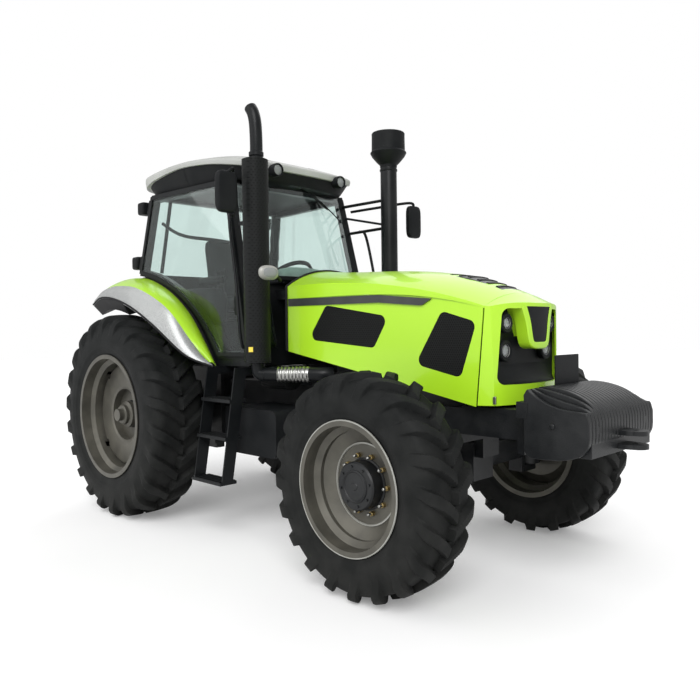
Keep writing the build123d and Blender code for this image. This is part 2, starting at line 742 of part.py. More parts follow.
console_x = at(1130)
wheel_hub = (console_x - 130, 0, 1960)
steering_plane = Plane(origin=wheel_hub, x_dir=(0, 1, 0), z_dir=(-130, 0, 180))
with BuildPart() as steering_console:
    with BuildSketch(Plane.XY.offset(floor_z)):
        with Locations((console_x - 30, 0)):
            Rectangle(140, 300)
    with BuildSketch(Plane.XY.offset(1800)):
        with Locations((console_x - 45, 0)):
            Rectangle(150, 380)
    loft()
    with BuildSketch(Plane.XZ.offset(-190)):
        Polygon((console_x - 120, 1799), (console_x + 30, 1799), (console_x + 22, 1870), (console_x - 50, 1905),
                align=None)
    extrude(amount=380)
    rod((console_x - 60, 0, 1850), wheel_hub, 30)
    with BuildSketch(steering_plane):
        Circle(205)
        Circle(180, mode=Mode.SUBTRACT)
        Rectangle(370, 34)
        Circle(48)
    extrude(amount=24)
save(steering_console, "steering_console")

# ---------------------------------------------------------------- fenders
# Each row is one arch of the fender on an upright plane: distance from the
# middle, centre x, centre height, radius, front end x, rear end x.
fender_arches = [
    (tub_half + 20, at(-370), 570, 1455, at(880), at(-560)),
    (1060, at(-20), 790, 1105, at(985), at(-640)),
    (1100, at(-20), 790, 1050, at(955), at(-600)),
]
fender_sheet = 14


def arch_strip(y, centre_x, centre_z, radius, front_x, rear_x):
    """Band between two concentric arcs on an upright plane at y."""
    def on_arc(arc_radius, x):
        return (x, centre_z + sqrt(arc_radius ** 2 - (x - centre_x) ** 2))

    middle_x = (front_x + rear_x) / 2
    inner_radius = radius - fender_sheet
    with BuildSketch(Plane.XZ.offset(-y)) as strip:
        with BuildLine():
            ThreePointArc(on_arc(radius, front_x), on_arc(radius, middle_x), on_arc(radius, rear_x))
            ThreePointArc(on_arc(inner_radius, front_x), on_arc(inner_radius, middle_x), on_arc(inner_radius, rear_x))
            Line(on_arc(radius, front_x), on_arc(inner_radius, front_x))
            Line(on_arc(radius, rear_x), on_arc(inner_radius, rear_x))
        make_face()
    return strip.sketch


with BuildPart() as fender_flange:
    extrude(side_opening(-frame_margin - 70, side_plane.offset(-4)), amount=12)
    extrude(side_opening(-frame_margin, side_plane.offset(-4)), amount=12, mode=Mode.SUBTRACT)
    with BuildSketch(side_plane.offset(-4)):
        with Locations((570, 350)):
            Rectangle(1060, 660)
    extrude(amount=12, mode=Mode.INTERSECT)

with BuildPart() as fenders:
    crown, edge, skirt = (arch_strip(*row) for row in fender_arches)
    loft([crown, edge])
    loft([edge, skirt])
    with BuildSketch(side_plane):
        with Locations((0, 0)):
            Rectangle(6000, 4000)
    extrude(amount=300, mode=Mode.SUBTRACT)
    add(fender_flange.part)
    # the front narrows towards the cab
    extrude(outline(Plane.XY.offset(1000), [(at(300), 1110), (at(570), 1080), (at(960), 985), (at(1200), 850),
                                            (at(1200), 1300), (at(300), 1300)]),
            amount=1200, mode=Mode.SUBTRACT)
    mirror(about=Plane.XZ)
save(fenders, "fenders")

# ---------------------------------------------------------------- steps and tanks
step_top_z = floor_z - floor_thickness
step_low_z = 430
step_top_y = 690
step_low_y = 930
stringer_width = 92
stringer_thickness = 12
step_rear_x = at(1020)
step_front_x = at(1370)
tread_heights = [430, 745, 1010]


def step_y(z):
    """Outward place of the ladder at a height."""
    return step_top_y + 110 + (step_low_y - step_top_y - 110) * (step_top_z - z) / (step_top_z - step_low_z)


with BuildPart() as steps:
    for stringer_x in (step_rear_x, step_front_x):
        with BuildSketch(Plane.YZ.offset(stringer_x)):
            low, high = step_y(step_low_z), step_y(step_top_z)
            Polygon(
                (low - stringer_width / 2, step_low_z), (low + stringer_width / 2, step_low_z),
                (high + stringer_width / 2, step_top_z), (high - 240, step_top_z),
                (high - 240, step_top_z - 40), (high - stringer_width / 2, step_top_z - 60),
                align=None,
            )
        extrude(amount=stringer_thickness)
    for tread_z in tread_heights:
        block((step_rear_x, step_y(tread_z) - 80, tread_z),
              (step_front_x + stringer_thickness, step_y(tread_z) + 60, tread_z + 22))
    mirror(about=Plane.XZ)
save(steps, "steps")

tank_inner_y = 330
tank_outer_y = 730
tank_low_z = 620
tank_high_z = 960
tank_front_x = at(1690)
tank_rear_x = at(1080)
with BuildPart() as side_tanks:
    with BuildSketch(Plane.XZ.offset(-tank_inner_y)):
        with Locations(((tank_front_x + tank_rear_x) / 2, (tank_low_z + tank_high_z) / 2)):
            RectangleRounded(tank_front_x - tank_rear_x, tank_high_z - tank_low_z, 50)
    extrude(amount=-(tank_outer_y - tank_inner_y))
    for bracket_x in (tank_rear_x + 110, tank_front_x - 150):
        low_y = gearbox_half if bracket_x < bell_rear_x else bell_half
        block((bracket_x, low_y, 760), (bracket_x + 50, tank_inner_y + 20, 840))
    mirror(about=Plane.XZ)
save(side_tanks, "side_tanks")

# ---------------------------------------------------------------- exhaust and air intake
stack_x = at(1480)
stack_y = 716
stack_low_z = 1270
shield_radius = 90
shield_top_z = 2760
tail_radius = 45
tail_top_z = 3140
inlet_x = at(1900)
inlet_y = 430
with BuildPart() as exhaust:
    rod((stack_x, -stack_y, stack_low_z), (stack_x, -stack_y, shield_top_z), shield_radius)
    with BuildLine() as route:
        FilletPolyline(
            (stack_x, -stack_y, shield_top_z - 1), (stack_x, -stack_y, tail_top_z - 80),
            (stack_x - 70, -stack_y, tail_top_z + 20), radius=90,
        )
    with BuildSketch(Plane(origin=route.line @ 0, z_dir=route.line % 0)):
        Circle(tail_radius)
    sweep(path=route.line)
    with BuildLine() as elbow:
        FilletPolyline(
            (stack_x, -stack_y, stack_low_z + 1), (stack_x, -stack_y, stack_low_z - 60),
            (inlet_x, -inlet_y, stack_low_z - 60), (inlet_x, -engine_half, stack_low_z - 60), radius=50,
        )
    with BuildSketch(Plane(origin=elbow.line @ 0, z_dir=elbow.line % 0)):
        Circle(tail_radius + 5)
    sweep(path=elbow.line)
    block((cab_front_x, -stack_y - 20, 1270), (stack_x, -stack_y + 20, 1310))
    block((cab_front_x - 60, -stack_y - 20, 1270), (cab_front_x, -tub_half - 45, 1310))
save(exhaust, "exhaust")

cleaner_z = 2900
with BuildPart() as air_intake:
    rod((stack_x, stack_y, stack_low_z), (stack_x, stack_y, cleaner_z), 70)
    rod((stack_x, stack_y, cleaner_z), (stack_x, stack_y, cleaner_z + 70), 155)
    rod((stack_x, stack_y, cleaner_z + 70), (stack_x, stack_y, cleaner_z + 310), 143)
    with BuildLine() as elbow:
        FilletPolyline(
            (stack_x, stack_y, stack_low_z + 1), (stack_x, stack_y, stack_low_z - 60),
            (inlet_x, inlet_y, stack_low_z - 60), (inlet_x, engine_half, stack_low_z - 60), radius=50,
        )
    with BuildSketch(Plane(origin=elbow.line @ 0, z_dir=elbow.line % 0)):
        Circle(60)
    sweep(path=elbow.line)
    block((cab_front_x, stack_y - 20, 1270), (stack_x, stack_y + 20, 1310))
    block((cab_front_x - 60, tub_half + 45, 1270), (cab_front_x, stack_y + 20, 1310))
save(air_intake, "air_intake")

# ---------------------------------------------------------------- mirrors and lamps
# side, head's place along and across
mirror_heads = [(1, at(1470), 1090), (-1, at(1500), 960)]
mirror_z = 2490
mirror_half_width = 90
mirror_half_height = 145
arm_z = 2580
arm_root_x = at(1070)
root_y = side_half(arm_root_x, arm_z)
with BuildPart() as mirrors:
    for side, head_x, head_y in mirror_heads:
        near, far = sorted((side * (root_y - 50), side * (root_y + 25)))
        block((arm_root_x - 28, near, arm_z - 30), (arm_root_x + 30, far, arm_z + 30))
        elbow = (head_x, side * (head_y - 60), arm_z)
        rod((arm_root_x + 10, side * root_y, arm_z), elbow, 16)
        rod(elbow, (head_x, side * head_y, mirror_z + 60), 14)
        near, far = sorted((side * (head_y - mirror_half_width), side * (head_y + mirror_half_width)))
        block((head_x - 60, near, mirror_z - mirror_half_height), (head_x, far, mirror_z + mirror_half_height))
    add(side_frame_left.part, mode=Mode.SUBTRACT)
    add(mirrored(side_frame_left), mode=Mode.SUBTRACT)
save(mirrors, "mirrors")

with BuildPart() as cab_lamps:
    for side in (-1, 1):
        rod((lamp_back_x, side * roof_lamp_y, roof_lamp_z),
            (lamp_back_x + 75, side * roof_lamp_y, roof_lamp_z), roof_lamp_radius)
        # turn lamps on arms beside the hood
        strut((hood_rear_x - 60, side * 494, 1890), (at(1740), side * 800, 1920), 30, 30)
        rod((cab_front_x - 100, side * 500, 1890), (hood_rear_x - 38, side * 500, 1890), 18)
        block((cab_front_x - 118, side * 500 - 18, 1880), (cab_front_x - 95, side * 500 + 18, shield_z - 30))
        block((at(1700), side * 810 - 90, 1850), (at(1770), side * 810 + 90, 1990))
        # rear work lamps and tail lamps
        # lamp place, height, pillar's middle in x and in y
        for lamp_x, lamp_z, pillar_x, pillar_y in (
            (cab_rear_x + 60, roof_z - 100, cab_rear_x + 138, 672),
            (cab_rear_x - 70, sill_z + 815, cab_rear_x + 45, 700),
        ):
            near, far = sorted((side * 580, side * 730))
            block((lamp_x - 120, near, lamp_z - 60), (lamp_x - 20, far, lamp_z + 60))
            near, far = sorted((side * (pillar_y - 15), side * (pillar_y + 15)))
            block((lamp_x - 21, near, lamp_z - 20), (pillar_x, far, lamp_z + 20))
    add(side_frame_left.part, mode=Mode.SUBTRACT)
    add(mirrored(side_frame_left), mode=Mode.SUBTRACT)
save(cab_lamps, "cab_lamps")

# ---------------------------------------------------------------- front weights
weight_count = 20
weight_gap = 2
weight_rear_x = bolster_front_x + 42
weight_front_x = at(3850)
weight_pitch = 2 * carrier_half / weight_count
# lens-shaped scoop in the outermost weights
scoop_rear = (at(3500), 1165)
scoop_crest = (at(3660), 1140)
scoop_front = (at(3790), 1060)
scoop_keel = (at(3640), 1010)
with BuildPart() as front_weights:
    for index in range(weight_count):
        start_y = -carrier_half + index * weight_pitch
        if abs(start_y + weight_pitch / 2) < 90 + weight_pitch / 2:
            foot = 960
        else:
            foot = 800
        with BuildSketch(Plane.XZ.offset(-start_y)):
            with BuildLine():
                Polyline((weight_rear_x + 30, carrier_top), (weight_rear_x + 30, foot + 30),
                         (weight_rear_x + 90, foot), (weight_front_x - 60, foot),
                         (weight_front_x, min(foot + 90, 1000)), (weight_front_x, 1010))
                ThreePointArc((weight_front_x, 1010), (weight_front_x - 130, 1130), (weight_rear_x, 1190))
                Polyline((weight_rear_x, 1190), (weight_rear_x, carrier_top), (weight_rear_x + 30, carrier_top))
            make_face()
        extrude(amount=-(weight_pitch - weight_gap))
    for side in (-1, 1):
        near, far = sorted((side * (carrier_half - 14), side * (carrier_half + 10)))
        with BuildSketch(Plane.XZ.offset(-near)):
            with BuildLine():
                ThreePointArc(scoop_rear, scoop_crest, scoop_front)
                ThreePointArc(scoop_front, scoop_keel, scoop_rear)
            make_face()
        extrude(amount=near - far, mode=Mode.SUBTRACT)
    with BuildSketch(Plane.XZ.offset(-carrier_half - 10)):
        with Locations((weight_front_x - 95, 1082)):
            SlotOverall(110, 26, rotation=-36)
    extrude(amount=2 * carrier_half + 20, mode=Mode.SUBTRACT)
    block((at(3515), -140, 1150), (at(3527), 140, 1372))
save(front_weights, "front_weights")

# ---------------------------------------------------------------- hood
seam_rear_z = 1763
seam_front_z = 1637
hood_low_rear_z = 1370
hood_low_front_z = 1056

# station x, half-width, seam height, shoulder height, crown height
hood_sections = [
    (hood_rear_x, hood_half_rear, seam_rear_z, 1850, 1985),
    (hood_rear_x + 900, 432, 1752, 1820, 1925),
    (hood_rear_x + 1400, 414, 1705, 1735, 1845),
    (hood_front_x, hood_half_front, seam_front_z, 1650, 1735),
]


def hood_section(x, half, seam, shoulder, crown):
    with BuildSketch(Plane.YZ.offset(x)) as section:
        with BuildLine():
            Polyline((-half, shoulder), (-half, seam), (half, seam), (half, shoulder))
            ThreePointArc((half, shoulder), (0, crown), (-half, shoulder))
        make_face()
    return section.sketch


with BuildPart() as hood_block:
    loft([hood_section(*row) for row in hood_sections])

with BuildPart() as hood_top:
    add(hood_block.part)
    loft([hood_section(x, half - panel, seam - 1, shoulder - panel, crown - panel)
          for x, half, seam, shoulder, crown in hood_sections], mode=Mode.SUBTRACT)
    for side in (-1, 1):
        near, far = sorted((side * 150, side * 179))
        block((hinge_x - 16, near, hinge_z - 16), (hinge_x + 16, far, 1955))
        cross_bar((hinge_x, hinge_z), near, far, hinge_pin_radius + running_gap, mode=Mode.SUBTRACT)
save(hood_top, "hood_top")

hood_slant = (hood_half_rear - hood_half_front) / (hood_front_x - hood_rear_x)
hood_side_plane = Plane(
    origin=(hood_rear_x, hood_half_rear, 0), x_dir=(1, -hood_slant, 0), z_dir=(-hood_slant, -1, 0)
)
hood_outline = [(0, 1370), (1070, 1173), (1640, 1061), (hood_front_x - hood_rear_x - 8, seam_front_z + 8),
                (1400, 1710), (900, 1757), (0, seam_rear_z + 8)]
vent_corner = 45
# headlamp rows: distance from the middle, height, glass radius, reach ahead of the panel
headlamp_rows = [(233, 1385, 50, 34), (248, 1549, 44, 52)]
lamp_rim = 14
vent_windows = [
    [(404, 1698), (979, 1607), (850, 1400), (222, 1456)],
    [(1401, 1630), (1650, 1559), (1536, 1226), (1195, 1300)],
]
with BuildPart() as hood_sides:
    extrude(outline(hood_side_plane, hood_outline), amount=panel)
    for window in vent_windows:
        extrude(rounded(hood_side_plane, window, vent_corner), amount=panel, mode=Mode.SUBTRACT)
    add(hood_block.part, mode=Mode.SUBTRACT)
    mirror(about=Plane.XZ)
save(hood_sides, "hood_sides")

# The nose is a lofted shell from the slanted seam with the hood to an upright
# front, cut off by an arc in plan so that the front is bowed.
nose_seam = Plane(origin=(hood_front_x, 0, seam_front_z), x_dir=(0, 1, 0), z_dir=(seam_front_z - 1061, 0, -56))
nose_face = Plane(origin=(at(3350), 0, 1070), x_dir=(0, 1, 0), z_dir=(1, 0, 0))
bow_corner = (at(3240), 372)
bow_front_x = at(3335)


def nose_section(plane, half, low, shoulder, crown):
    """Slanted section of the nose: flat foot, upright sides, arched top."""
    with BuildSketch(plane) as section:
        with BuildLine():
            Polyline((-half, shoulder), (-half, low), (half, low), (half, shoulder))
            ThreePointArc((half, shoulder), (0, crown), (-half, shoulder))
        make_face()
    return section.sketch


def nose_shell(inset, start):
    """Nose block whose walls stand in from the outer ones by an inset."""
    loft([
        nose_section(nose_seam.offset(start), hood_half_front - inset, 1066 - seam_front_z + inset,
                     13 - inset, 98 - inset),
        nose_section(nose_face, 326 - inset, inset, 566 - inset, 592 - inset),
    ])
    with BuildSketch(Plane.XY.offset(1000)) as bow:
        with BuildLine():
            corner_x, corner_y = bow_corner
            far_y = hood_half_front + panel
            Polyline((corner_x - inset, -corner_y), (at(3220) - inset, -far_y), (at(3000), -far_y),
                     (at(3000), far_y), (at(3220) - inset, far_y), (corner_x - inset, corner_y))
            ThreePointArc((corner_x - inset, corner_y), (bow_front_x - inset, 0), (corner_x - inset, -corner_y))
        make_face()
    extrude(bow.sketch, amount=900, mode=Mode.INTERSECT)


with BuildPart() as nose_block:
    nose_shell(0, 0)

with BuildPart() as nose_cavity:
    nose_shell(2 * panel, -1)

with BuildPart() as nose_trim:
    # trim round the middle of the recess, shaped like a U
    with BuildSketch(nose_face) as trim:
        with BuildLine():
            Polyline((-176, 582), (-92, 400), (92, 400), (176, 582), close=True)
        make_face()
        with BuildLine():
            Polyline((-128, 582), (-66, 432), (66, 432), (128, 582), close=True)
        make_face(mode=Mode.SUBTRACT)
    extrude(trim.sketch, amount=-140)
    add(nose_block.part, mode=Mode.INTERSECT)

with BuildPart() as nose_cowl:
    add(nose_block.part)
    add(nose_cavity.part, mode=Mode.SUBTRACT)
    extrude(rounded(nose_face, [(-312, 566), (312, 566), (350, 118), (-350, 118)], 50),
            amount=-140, mode=Mode.SUBTRACT)
    add(nose_trim.part)

save(nose_cowl, "nose_cowl")

with BuildPart() as lamp_panel:
    block((hood_front_x - 20, -hood_half_front, 1090), (hood_front_x, hood_half_front, 1650))
    add(nose_cavity.part, mode=Mode.INTERSECT)

with BuildPart() as hood_grilles:
    for window in vent_windows:
        extrude(rounded(hood_side_plane.offset(2), window, vent_corner), amount=panel - 2)
    mirror(about=Plane.XZ)
    add(lamp_panel.part)
    for side in (-1, 1):
        for lamp_y, lamp_z, lamp_radius, reach in headlamp_rows:
            with BuildSketch(Plane.YZ.offset(hood_front_x)):
                with Locations((side * lamp_y, lamp_z)):
                    Circle(lamp_radius + lamp_rim)
                    Circle(lamp_radius, mode=Mode.SUBTRACT)
            extrude(amount=reach)
save(hood_grilles, "hood_grilles")

with BuildPart() as headlamps:
    for side in (-1, 1):
        for lamp_y, lamp_z, lamp_radius, reach in headlamp_rows:
            rod((hood_front_x, side * lamp_y, lamp_z), (hood_front_x + reach - 6, side * lamp_y, lamp_z), lamp_radius)
save(headlamps, "headlamps")

# ---------------------------------------------------------------- rear hitch
lower_end = (at(-hitch_reach + 42), 500)
lower_end_y = 430
ball_radius = 18.65
ball_width = 45
link_thickness = 32
lift_length = 420
lift_arm_y = 356
lift_arm_half = 20
lift_pin_radius = 16
rod_y = 400
rod_plate_half = 8
eye_pin_radius = 14
eye_slot = 34
lift_end = (lift_pivot[0] - lift_length, lift_pivot[1])
link_share = lift_length / (lift_pivot[0] - lower_end[0])
link_eye_x = lift_end[0]
link_run = (lower_pivot[0] - link_eye_x) / (lower_pivot[0] - lower_end[0])
link_eye_z = lower_pivot[1] + (lower_end[1] - lower_pivot[1]) * link_run
link_eye_y = lower_pivot_y + (lower_end_y - lower_pivot_y) * link_run

with BuildPart() as lower_links:
    cross_bar(lower_pivot, lower_pivot_y - 22, lower_pivot_y + 22, 45)
    strut((lower_pivot[0] - 20, lower_pivot_y, lower_pivot[1]), (lower_end[0] + 30, lower_end_y, lower_end[1]),
          link_thickness, 80)
    cross_bar(lower_end, lower_end_y - ball_width / 2, lower_end_y + ball_width / 2, 42)
    cross_bar(lower_end, lower_end_y - 30, lower_end_y + 30, ball_radius, mode=Mode.SUBTRACT)
    cross_bar(lower_pivot, lower_pivot_y - 30, lower_pivot_y + 30, lower_pin_radius + running_gap, mode=Mode.SUBTRACT)
    cross_bar((link_eye_x, link_eye_z), link_eye_y, rod_y + rod_plate_half + 6, eye_pin_radius)
    mirror(about=Plane.XZ)
save(lower_links, "lower_links")

with BuildPart() as lift_arms:
    cross_bar(lift_pivot, -lift_arm_y - lift_arm_half, lift_arm_y + lift_arm_half, lift_shaft_radius)
    for side in (-1, 1):
        strut((lift_pivot[0], side * lift_arm_y, lift_pivot[1]), (lift_end[0], side * lift_arm_y, lift_end[1]),
              2 * lift_arm_half, 80)
        near, far = sorted((side * (lift_arm_y - lift_arm_half), side * (lift_arm_y + lift_arm_half)))
        cross_bar(lift_pivot, near, far, 70)
        cross_bar(lift_end, near, far, 46)
        near, far = sorted((side * lift_arm_y, side * (rod_y + 22)))
        cross_bar(lift_end, near, far, lift_pin_radius)
save(lift_arms, "lift_arms")

with BuildPart() as lift_rods:
    cross_bar(lift_end, rod_y - 20, rod_y + 20, 34)
    rod((lift_end[0], rod_y, lift_end[1]), (link_eye_x, rod_y, link_eye_z + 110), 22)
    cross_bar(lift_end, rod_y - 25, rod_y + 25, lift_pin_radius + running_gap, mode=Mode.SUBTRACT)
    with BuildSketch(Plane.XZ.offset(-(rod_y - rod_plate_half))):
        with Locations((link_eye_x, link_eye_z + 30)):
            RectangleRounded(2 * eye_slot + 30, 220, 40)
        with Locations((link_eye_x, link_eye_z)):
            RectangleRounded(2 * eye_slot, 2 * eye_slot + 4, eye_slot - 1, mode=Mode.SUBTRACT)
    extrude(amount=-2 * rod_plate_half)
    mirror(about=Plane.XZ)
save(lift_rods, "lift_rods")

top_end = (at(-1000), 930)
top_ball_radius = 16.1
with BuildPart() as top_link:
    cross_bar(top_pivot, -top_eye_half, top_eye_half, 38)
    rod((top_pivot[0] - 20, 0, top_pivot[1]), (top_end[0] + 20, 0, top_end[1]), 24)
    cross_bar(top_pivot, -top_eye_half - 5, top_eye_half + 5, top_pin_radius + running_gap, mode=Mode.SUBTRACT)
    cross_bar(top_end, -top_eye_half, top_eye_half, 36)
    cross_bar(top_end, -top_eye_half - 5, top_eye_half + 5, top_ball_radius, mode=Mode.SUBTRACT)
save(top_link, "top_link")

drawbar_top = 470
drawbar_thickness = 42
drawbar_half = 45
drawbar_end_x = at(-1050)
drawbar_pin_radius = 16.5
with BuildPart() as drawbar:
    block((drawbar_end_x, -drawbar_half, drawbar_top - drawbar_thickness), (at(-60), drawbar_half, drawbar_top))
    block((at(-180), -60, drawbar_top), (at(-60), 60, centre_bottom))
    for side in (-1, 1):
        near, far = sorted((side * (drawbar_half + 30), side * (drawbar_half + 55)))
        block((at(-395), near, drawbar_top - drawbar_thickness - 25), (at(-310), far, centre_bottom))
    block((at(-395), -drawbar_half - 55, drawbar_top - drawbar_thickness - 25),
          (at(-310), drawbar_half + 55, drawbar_top - drawbar_thickness))
    with BuildSketch(Plane.XY.offset(drawbar_top - drawbar_thickness)):
        with Locations((drawbar_end_x + 50, 0)):
            Circle(drawbar_pin_radius)
    extrude(amount=drawbar_thickness, mode=Mode.SUBTRACT)
save(drawbar, "drawbar")
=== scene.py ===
# %% [markdown]
# # A four-wheel-drive farm tractor, dressed for the render
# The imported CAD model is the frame: its bodies move, its boxes say where things
# are, and nothing of it is moved here. This lesson gives every part of it a
# finish, swaps the plain tyres, seat and other simple solids for worked surfaces,
# and adds the trim that makes a tractor look like a tractor.

# %% Load the frame
from math import pi, radians

import bmesh
import bpy
import numpy as np
from mathutils import Matrix, Vector


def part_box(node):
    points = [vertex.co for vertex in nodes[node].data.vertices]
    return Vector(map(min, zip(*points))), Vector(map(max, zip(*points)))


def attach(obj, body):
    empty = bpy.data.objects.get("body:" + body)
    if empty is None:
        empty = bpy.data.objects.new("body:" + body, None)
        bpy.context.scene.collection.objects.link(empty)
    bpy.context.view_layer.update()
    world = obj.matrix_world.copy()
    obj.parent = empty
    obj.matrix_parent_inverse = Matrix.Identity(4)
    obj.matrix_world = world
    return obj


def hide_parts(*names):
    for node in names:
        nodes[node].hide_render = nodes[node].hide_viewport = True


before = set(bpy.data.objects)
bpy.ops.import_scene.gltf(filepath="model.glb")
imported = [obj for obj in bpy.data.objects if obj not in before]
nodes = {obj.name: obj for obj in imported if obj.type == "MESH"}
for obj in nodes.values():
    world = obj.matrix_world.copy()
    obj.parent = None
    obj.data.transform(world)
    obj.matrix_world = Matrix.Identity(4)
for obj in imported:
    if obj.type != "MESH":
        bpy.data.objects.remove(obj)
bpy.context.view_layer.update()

scene = bpy.context.scene
scene.view_settings.view_transform = "Standard"


def box_of(node):
    """Lowest and highest corner of a CAD node, as two arrays in metres."""
    low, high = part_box(node)
    return np.array(low), np.array(high)


def middle_of(node):
    """The middle of a CAD node's box: half of its lowest plus its highest corner."""
    low, high = box_of(node)
    return (low + high) / 2


rear_x = middle_of("tyre_rear_left")[0]


def at(x, y, z):
    """One point given from the rear axle, in the frame's metres."""
    return np.array((rear_x + x, y, z))


def from_axle(points, side=1):
    """Points given from the rear axle, mirrored to the right where side is -1."""
    return np.asarray(points, float) * (1, side, 1) + (rear_x, 0, 0)


# %% [markdown]
# ## From arrays to meshes
# Every new piece is a grid of points worked out by numpy: a shape is a function of
# two parameters, or a profile carried along a path. Writing it as whole arrays keeps
# the formula readable and fast, and one helper turns any grid into a closed mesh.

# %% Turn grids into a mesh piece


def skin(grid, wrap_u=False, wrap_v=False, cap_u=False, cap_v=False):
    """Points and faces of a grid of points (u, v, 3).

    Each cell becomes a four-sided face. A wrapped direction joins its last row to
    its first, and a cap closes the two end rings with one face each.
    """
    u_count, v_count = grid.shape[:2]
    index = np.arange(u_count * v_count).reshape(u_count, v_count)
    across = np.vstack([index, index[:1]]) if wrap_u else index
    across = np.hstack([across, across[:, :1]]) if wrap_v else across
    cells = np.stack([across[:-1, :-1], across[1:, :-1], across[1:, 1:], across[:-1, 1:]], axis=-1)
    faces = cells.reshape(-1, 4).tolist()
    if cap_u:
        faces += [index[0].tolist(), index[-1][::-1].tolist()]
    if cap_v:
        faces += [index[:, 0][::-1].tolist(), index[:, -1].tolist()]
    return grid.reshape(-1, 3), faces


def piece(name, parts, material, body="tractor", smooth=True, bevel=0.0, crease=35):
    """One mesh object from a list of (points, faces) parts, riding on a body.

    Its material is put in the mesh's one slot.
    """
    points, faces, start = [], [], 0
    for part_points, part_faces in parts:
        points.append(np.asarray(part_points, float))
        faces += [[start + i for i in face] for face in part_faces]
        start += len(part_points)
    mesh = bpy.data.meshes.new(name)
    mesh.from_pydata(np.vstack(points).tolist(), [], faces)
    shell = bmesh.new()
    shell.from_mesh(mesh)
    bmesh.ops.recalc_face_normals(shell, faces=shell.faces)
    shell.to_mesh(mesh)
    shell.free()
    obj = bpy.data.objects.new(name, mesh)
    scene.collection.objects.link(obj)
    mesh.materials.append(material)
    if smooth:
        mesh.shade_smooth()
        mesh.set_sharp_from_angle(angle=radians(crease))
    if bevel:
        rounding = obj.modifiers.new("rounded edges", "BEVEL")
        rounding.width = bevel
        rounding.segments = 2
        rounding.limit_method = "ANGLE"
        rounding.angle_limit = radians(40)
    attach(obj, body)
    return obj


def unit(vectors):
    """Each vector divided by its own length."""
    return vectors / np.linalg.norm(vectors, axis=-1, keepdims=True)


def ring(count):
    """Cosine and sine of a full turn in equal steps."""
    turn = np.linspace(0, 2 * pi, count, endpoint=False)
    return np.cos(turn), np.sin(turn)


def smooth_path(corners, count=40):
    """Points of a Catmull-Rom curve through the corners.

    Between two corners the point is a cubic blend of the four corners around it.
    """
    knots = np.asarray(corners, float)
    knots = np.vstack([2 * knots[0] - knots[1], knots, 2 * knots[-1] - knots[-2]])
    place = np.linspace(0, len(corners) - 1, count)
    span = np.minimum(place.astype(int), len(corners) - 2)
    t = (place - span)[:, None]
    a, b, c, d = (knots[span + k] for k in range(4))
    square, cube = 2 * a - 5 * b + 4 * c - d, 3 * b - a - 3 * c + d
    return 0.5 * (2 * b + (c - a) * t + square * t**2 + cube * t**3)


def tube(path, radius, sides=14):
    """A circle carried along a path: path point + radius (cos n + sin b).

    The frame's first side vector is kept as far from the path's run as it can be.
    """
    path = np.asarray(path, float)
    radius = np.broadcast_to(radius, len(path))[:, None, None]
    run = unit(np.gradient(path, axis=0))
    fixed = np.eye(3)[np.argmin(np.abs(path[-1] - path[0]))]
    side = unit(np.cross(run, fixed))
    other = np.cross(run, side)
    cos, sin = ring(sides)
    grid = path[:, None] + radius * (cos[None, :, None] * side[:, None]
                                     + sin[None, :, None] * other[:, None])
    return skin(grid, wrap_v=True, cap_u=True)


def prism(outline, run):
    """A flat outline of points carried along one straight run, closed at both ends."""
    outline = np.asarray(outline, float)
    return skin(np.stack([outline, outline + np.asarray(run, float)]), wrap_v=True, cap_u=True)


def slab(low, high):
    """A block between two corners as a prism, to be rounded by a bevel."""
    (x0, y0, z0), (x1, y1, z1) = low, high
    return prism([(x0, y0, z0), (x1, y0, z0), (x1, y1, z0), (x0, y1, z0)], (0, 0, z1 - z0))


def turned(profile, centre, axis, steps=72):
    """A profile of (run along the axis, radius) turned about an axis through a centre."""
    profile = np.asarray(profile, float)
    axis = unit(np.asarray(axis, float))
    side = unit(np.cross(axis, np.eye(3)[np.argmin(np.abs(axis))]))
    other = np.cross(axis, side)
    cos, sin = ring(steps)
    spoke = cos[:, None] * side + sin[:, None] * other
    grid = np.asarray(centre) + profile[None, :, :1] * axis + profile[None, :, 1:] * spoke[:, None]
    return skin(grid, wrap_u=True, cap_v=True)



print("points of a turned pipe", len(turned([(0, 1), (1, 1)], (0, 0, 0), (0, 0, 1))[0]))

# %% [markdown]
# ## Finishes
# A real finish is never one colour. Paint has a faint orange peel and a little dust,
# cast iron is pitted, rubber is greyed by soil. Each finish here is a shader of
# nodes on Object coordinates, so the pattern has its true size in metres and needs
# no image. One function makes the common ones from a few numbers.

# %% A procedural finish from a few numbers


def new_material(name):
    """An empty node material, with its tree, its shader and a node maker."""
    material = bpy.data.materials.new(name)
    material.use_nodes = True
    tree = material.node_tree
    shader = tree.nodes["Principled BSDF"]

    def node(kind, **values):
        """A shader node with values for its settings or its input sockets."""
        made = tree.nodes.new("ShaderNode" + kind)
        for key, value in values.items():
            if hasattr(made, key):
                setattr(made, key, value)
            else:
                made.inputs[key.replace("_", " ")].default_value = value
        return made

    return material, tree, shader, node


def colour_mix(tree, node, factor, first, second):
    """A node that mixes two colours by a factor socket; colours may be sockets."""
    mix = node("Mix", data_type="RGBA")
    tree.links.new(factor, mix.inputs["Factor"])
    ends = [s for s in mix.inputs if s.type == "RGBA"]
    for socket, value in zip(ends, (first, second)):
        if isinstance(value, tuple):
            socket.default_value = (*value, 1)
        else:
            tree.links.new(value, socket)
    return [s for s in mix.outputs if s.type == "RGBA"][0]


def noise(tree, node, scale, detail):
    """A noise of true size in metres, on Object coordinates: its value."""
    place, made = node("TexCoord"), node("TexNoise", Scale=scale, Detail=detail)
    tree.links.new(place.outputs["Object"], made.inputs["Vector"])
    return made.outputs["Fac"]


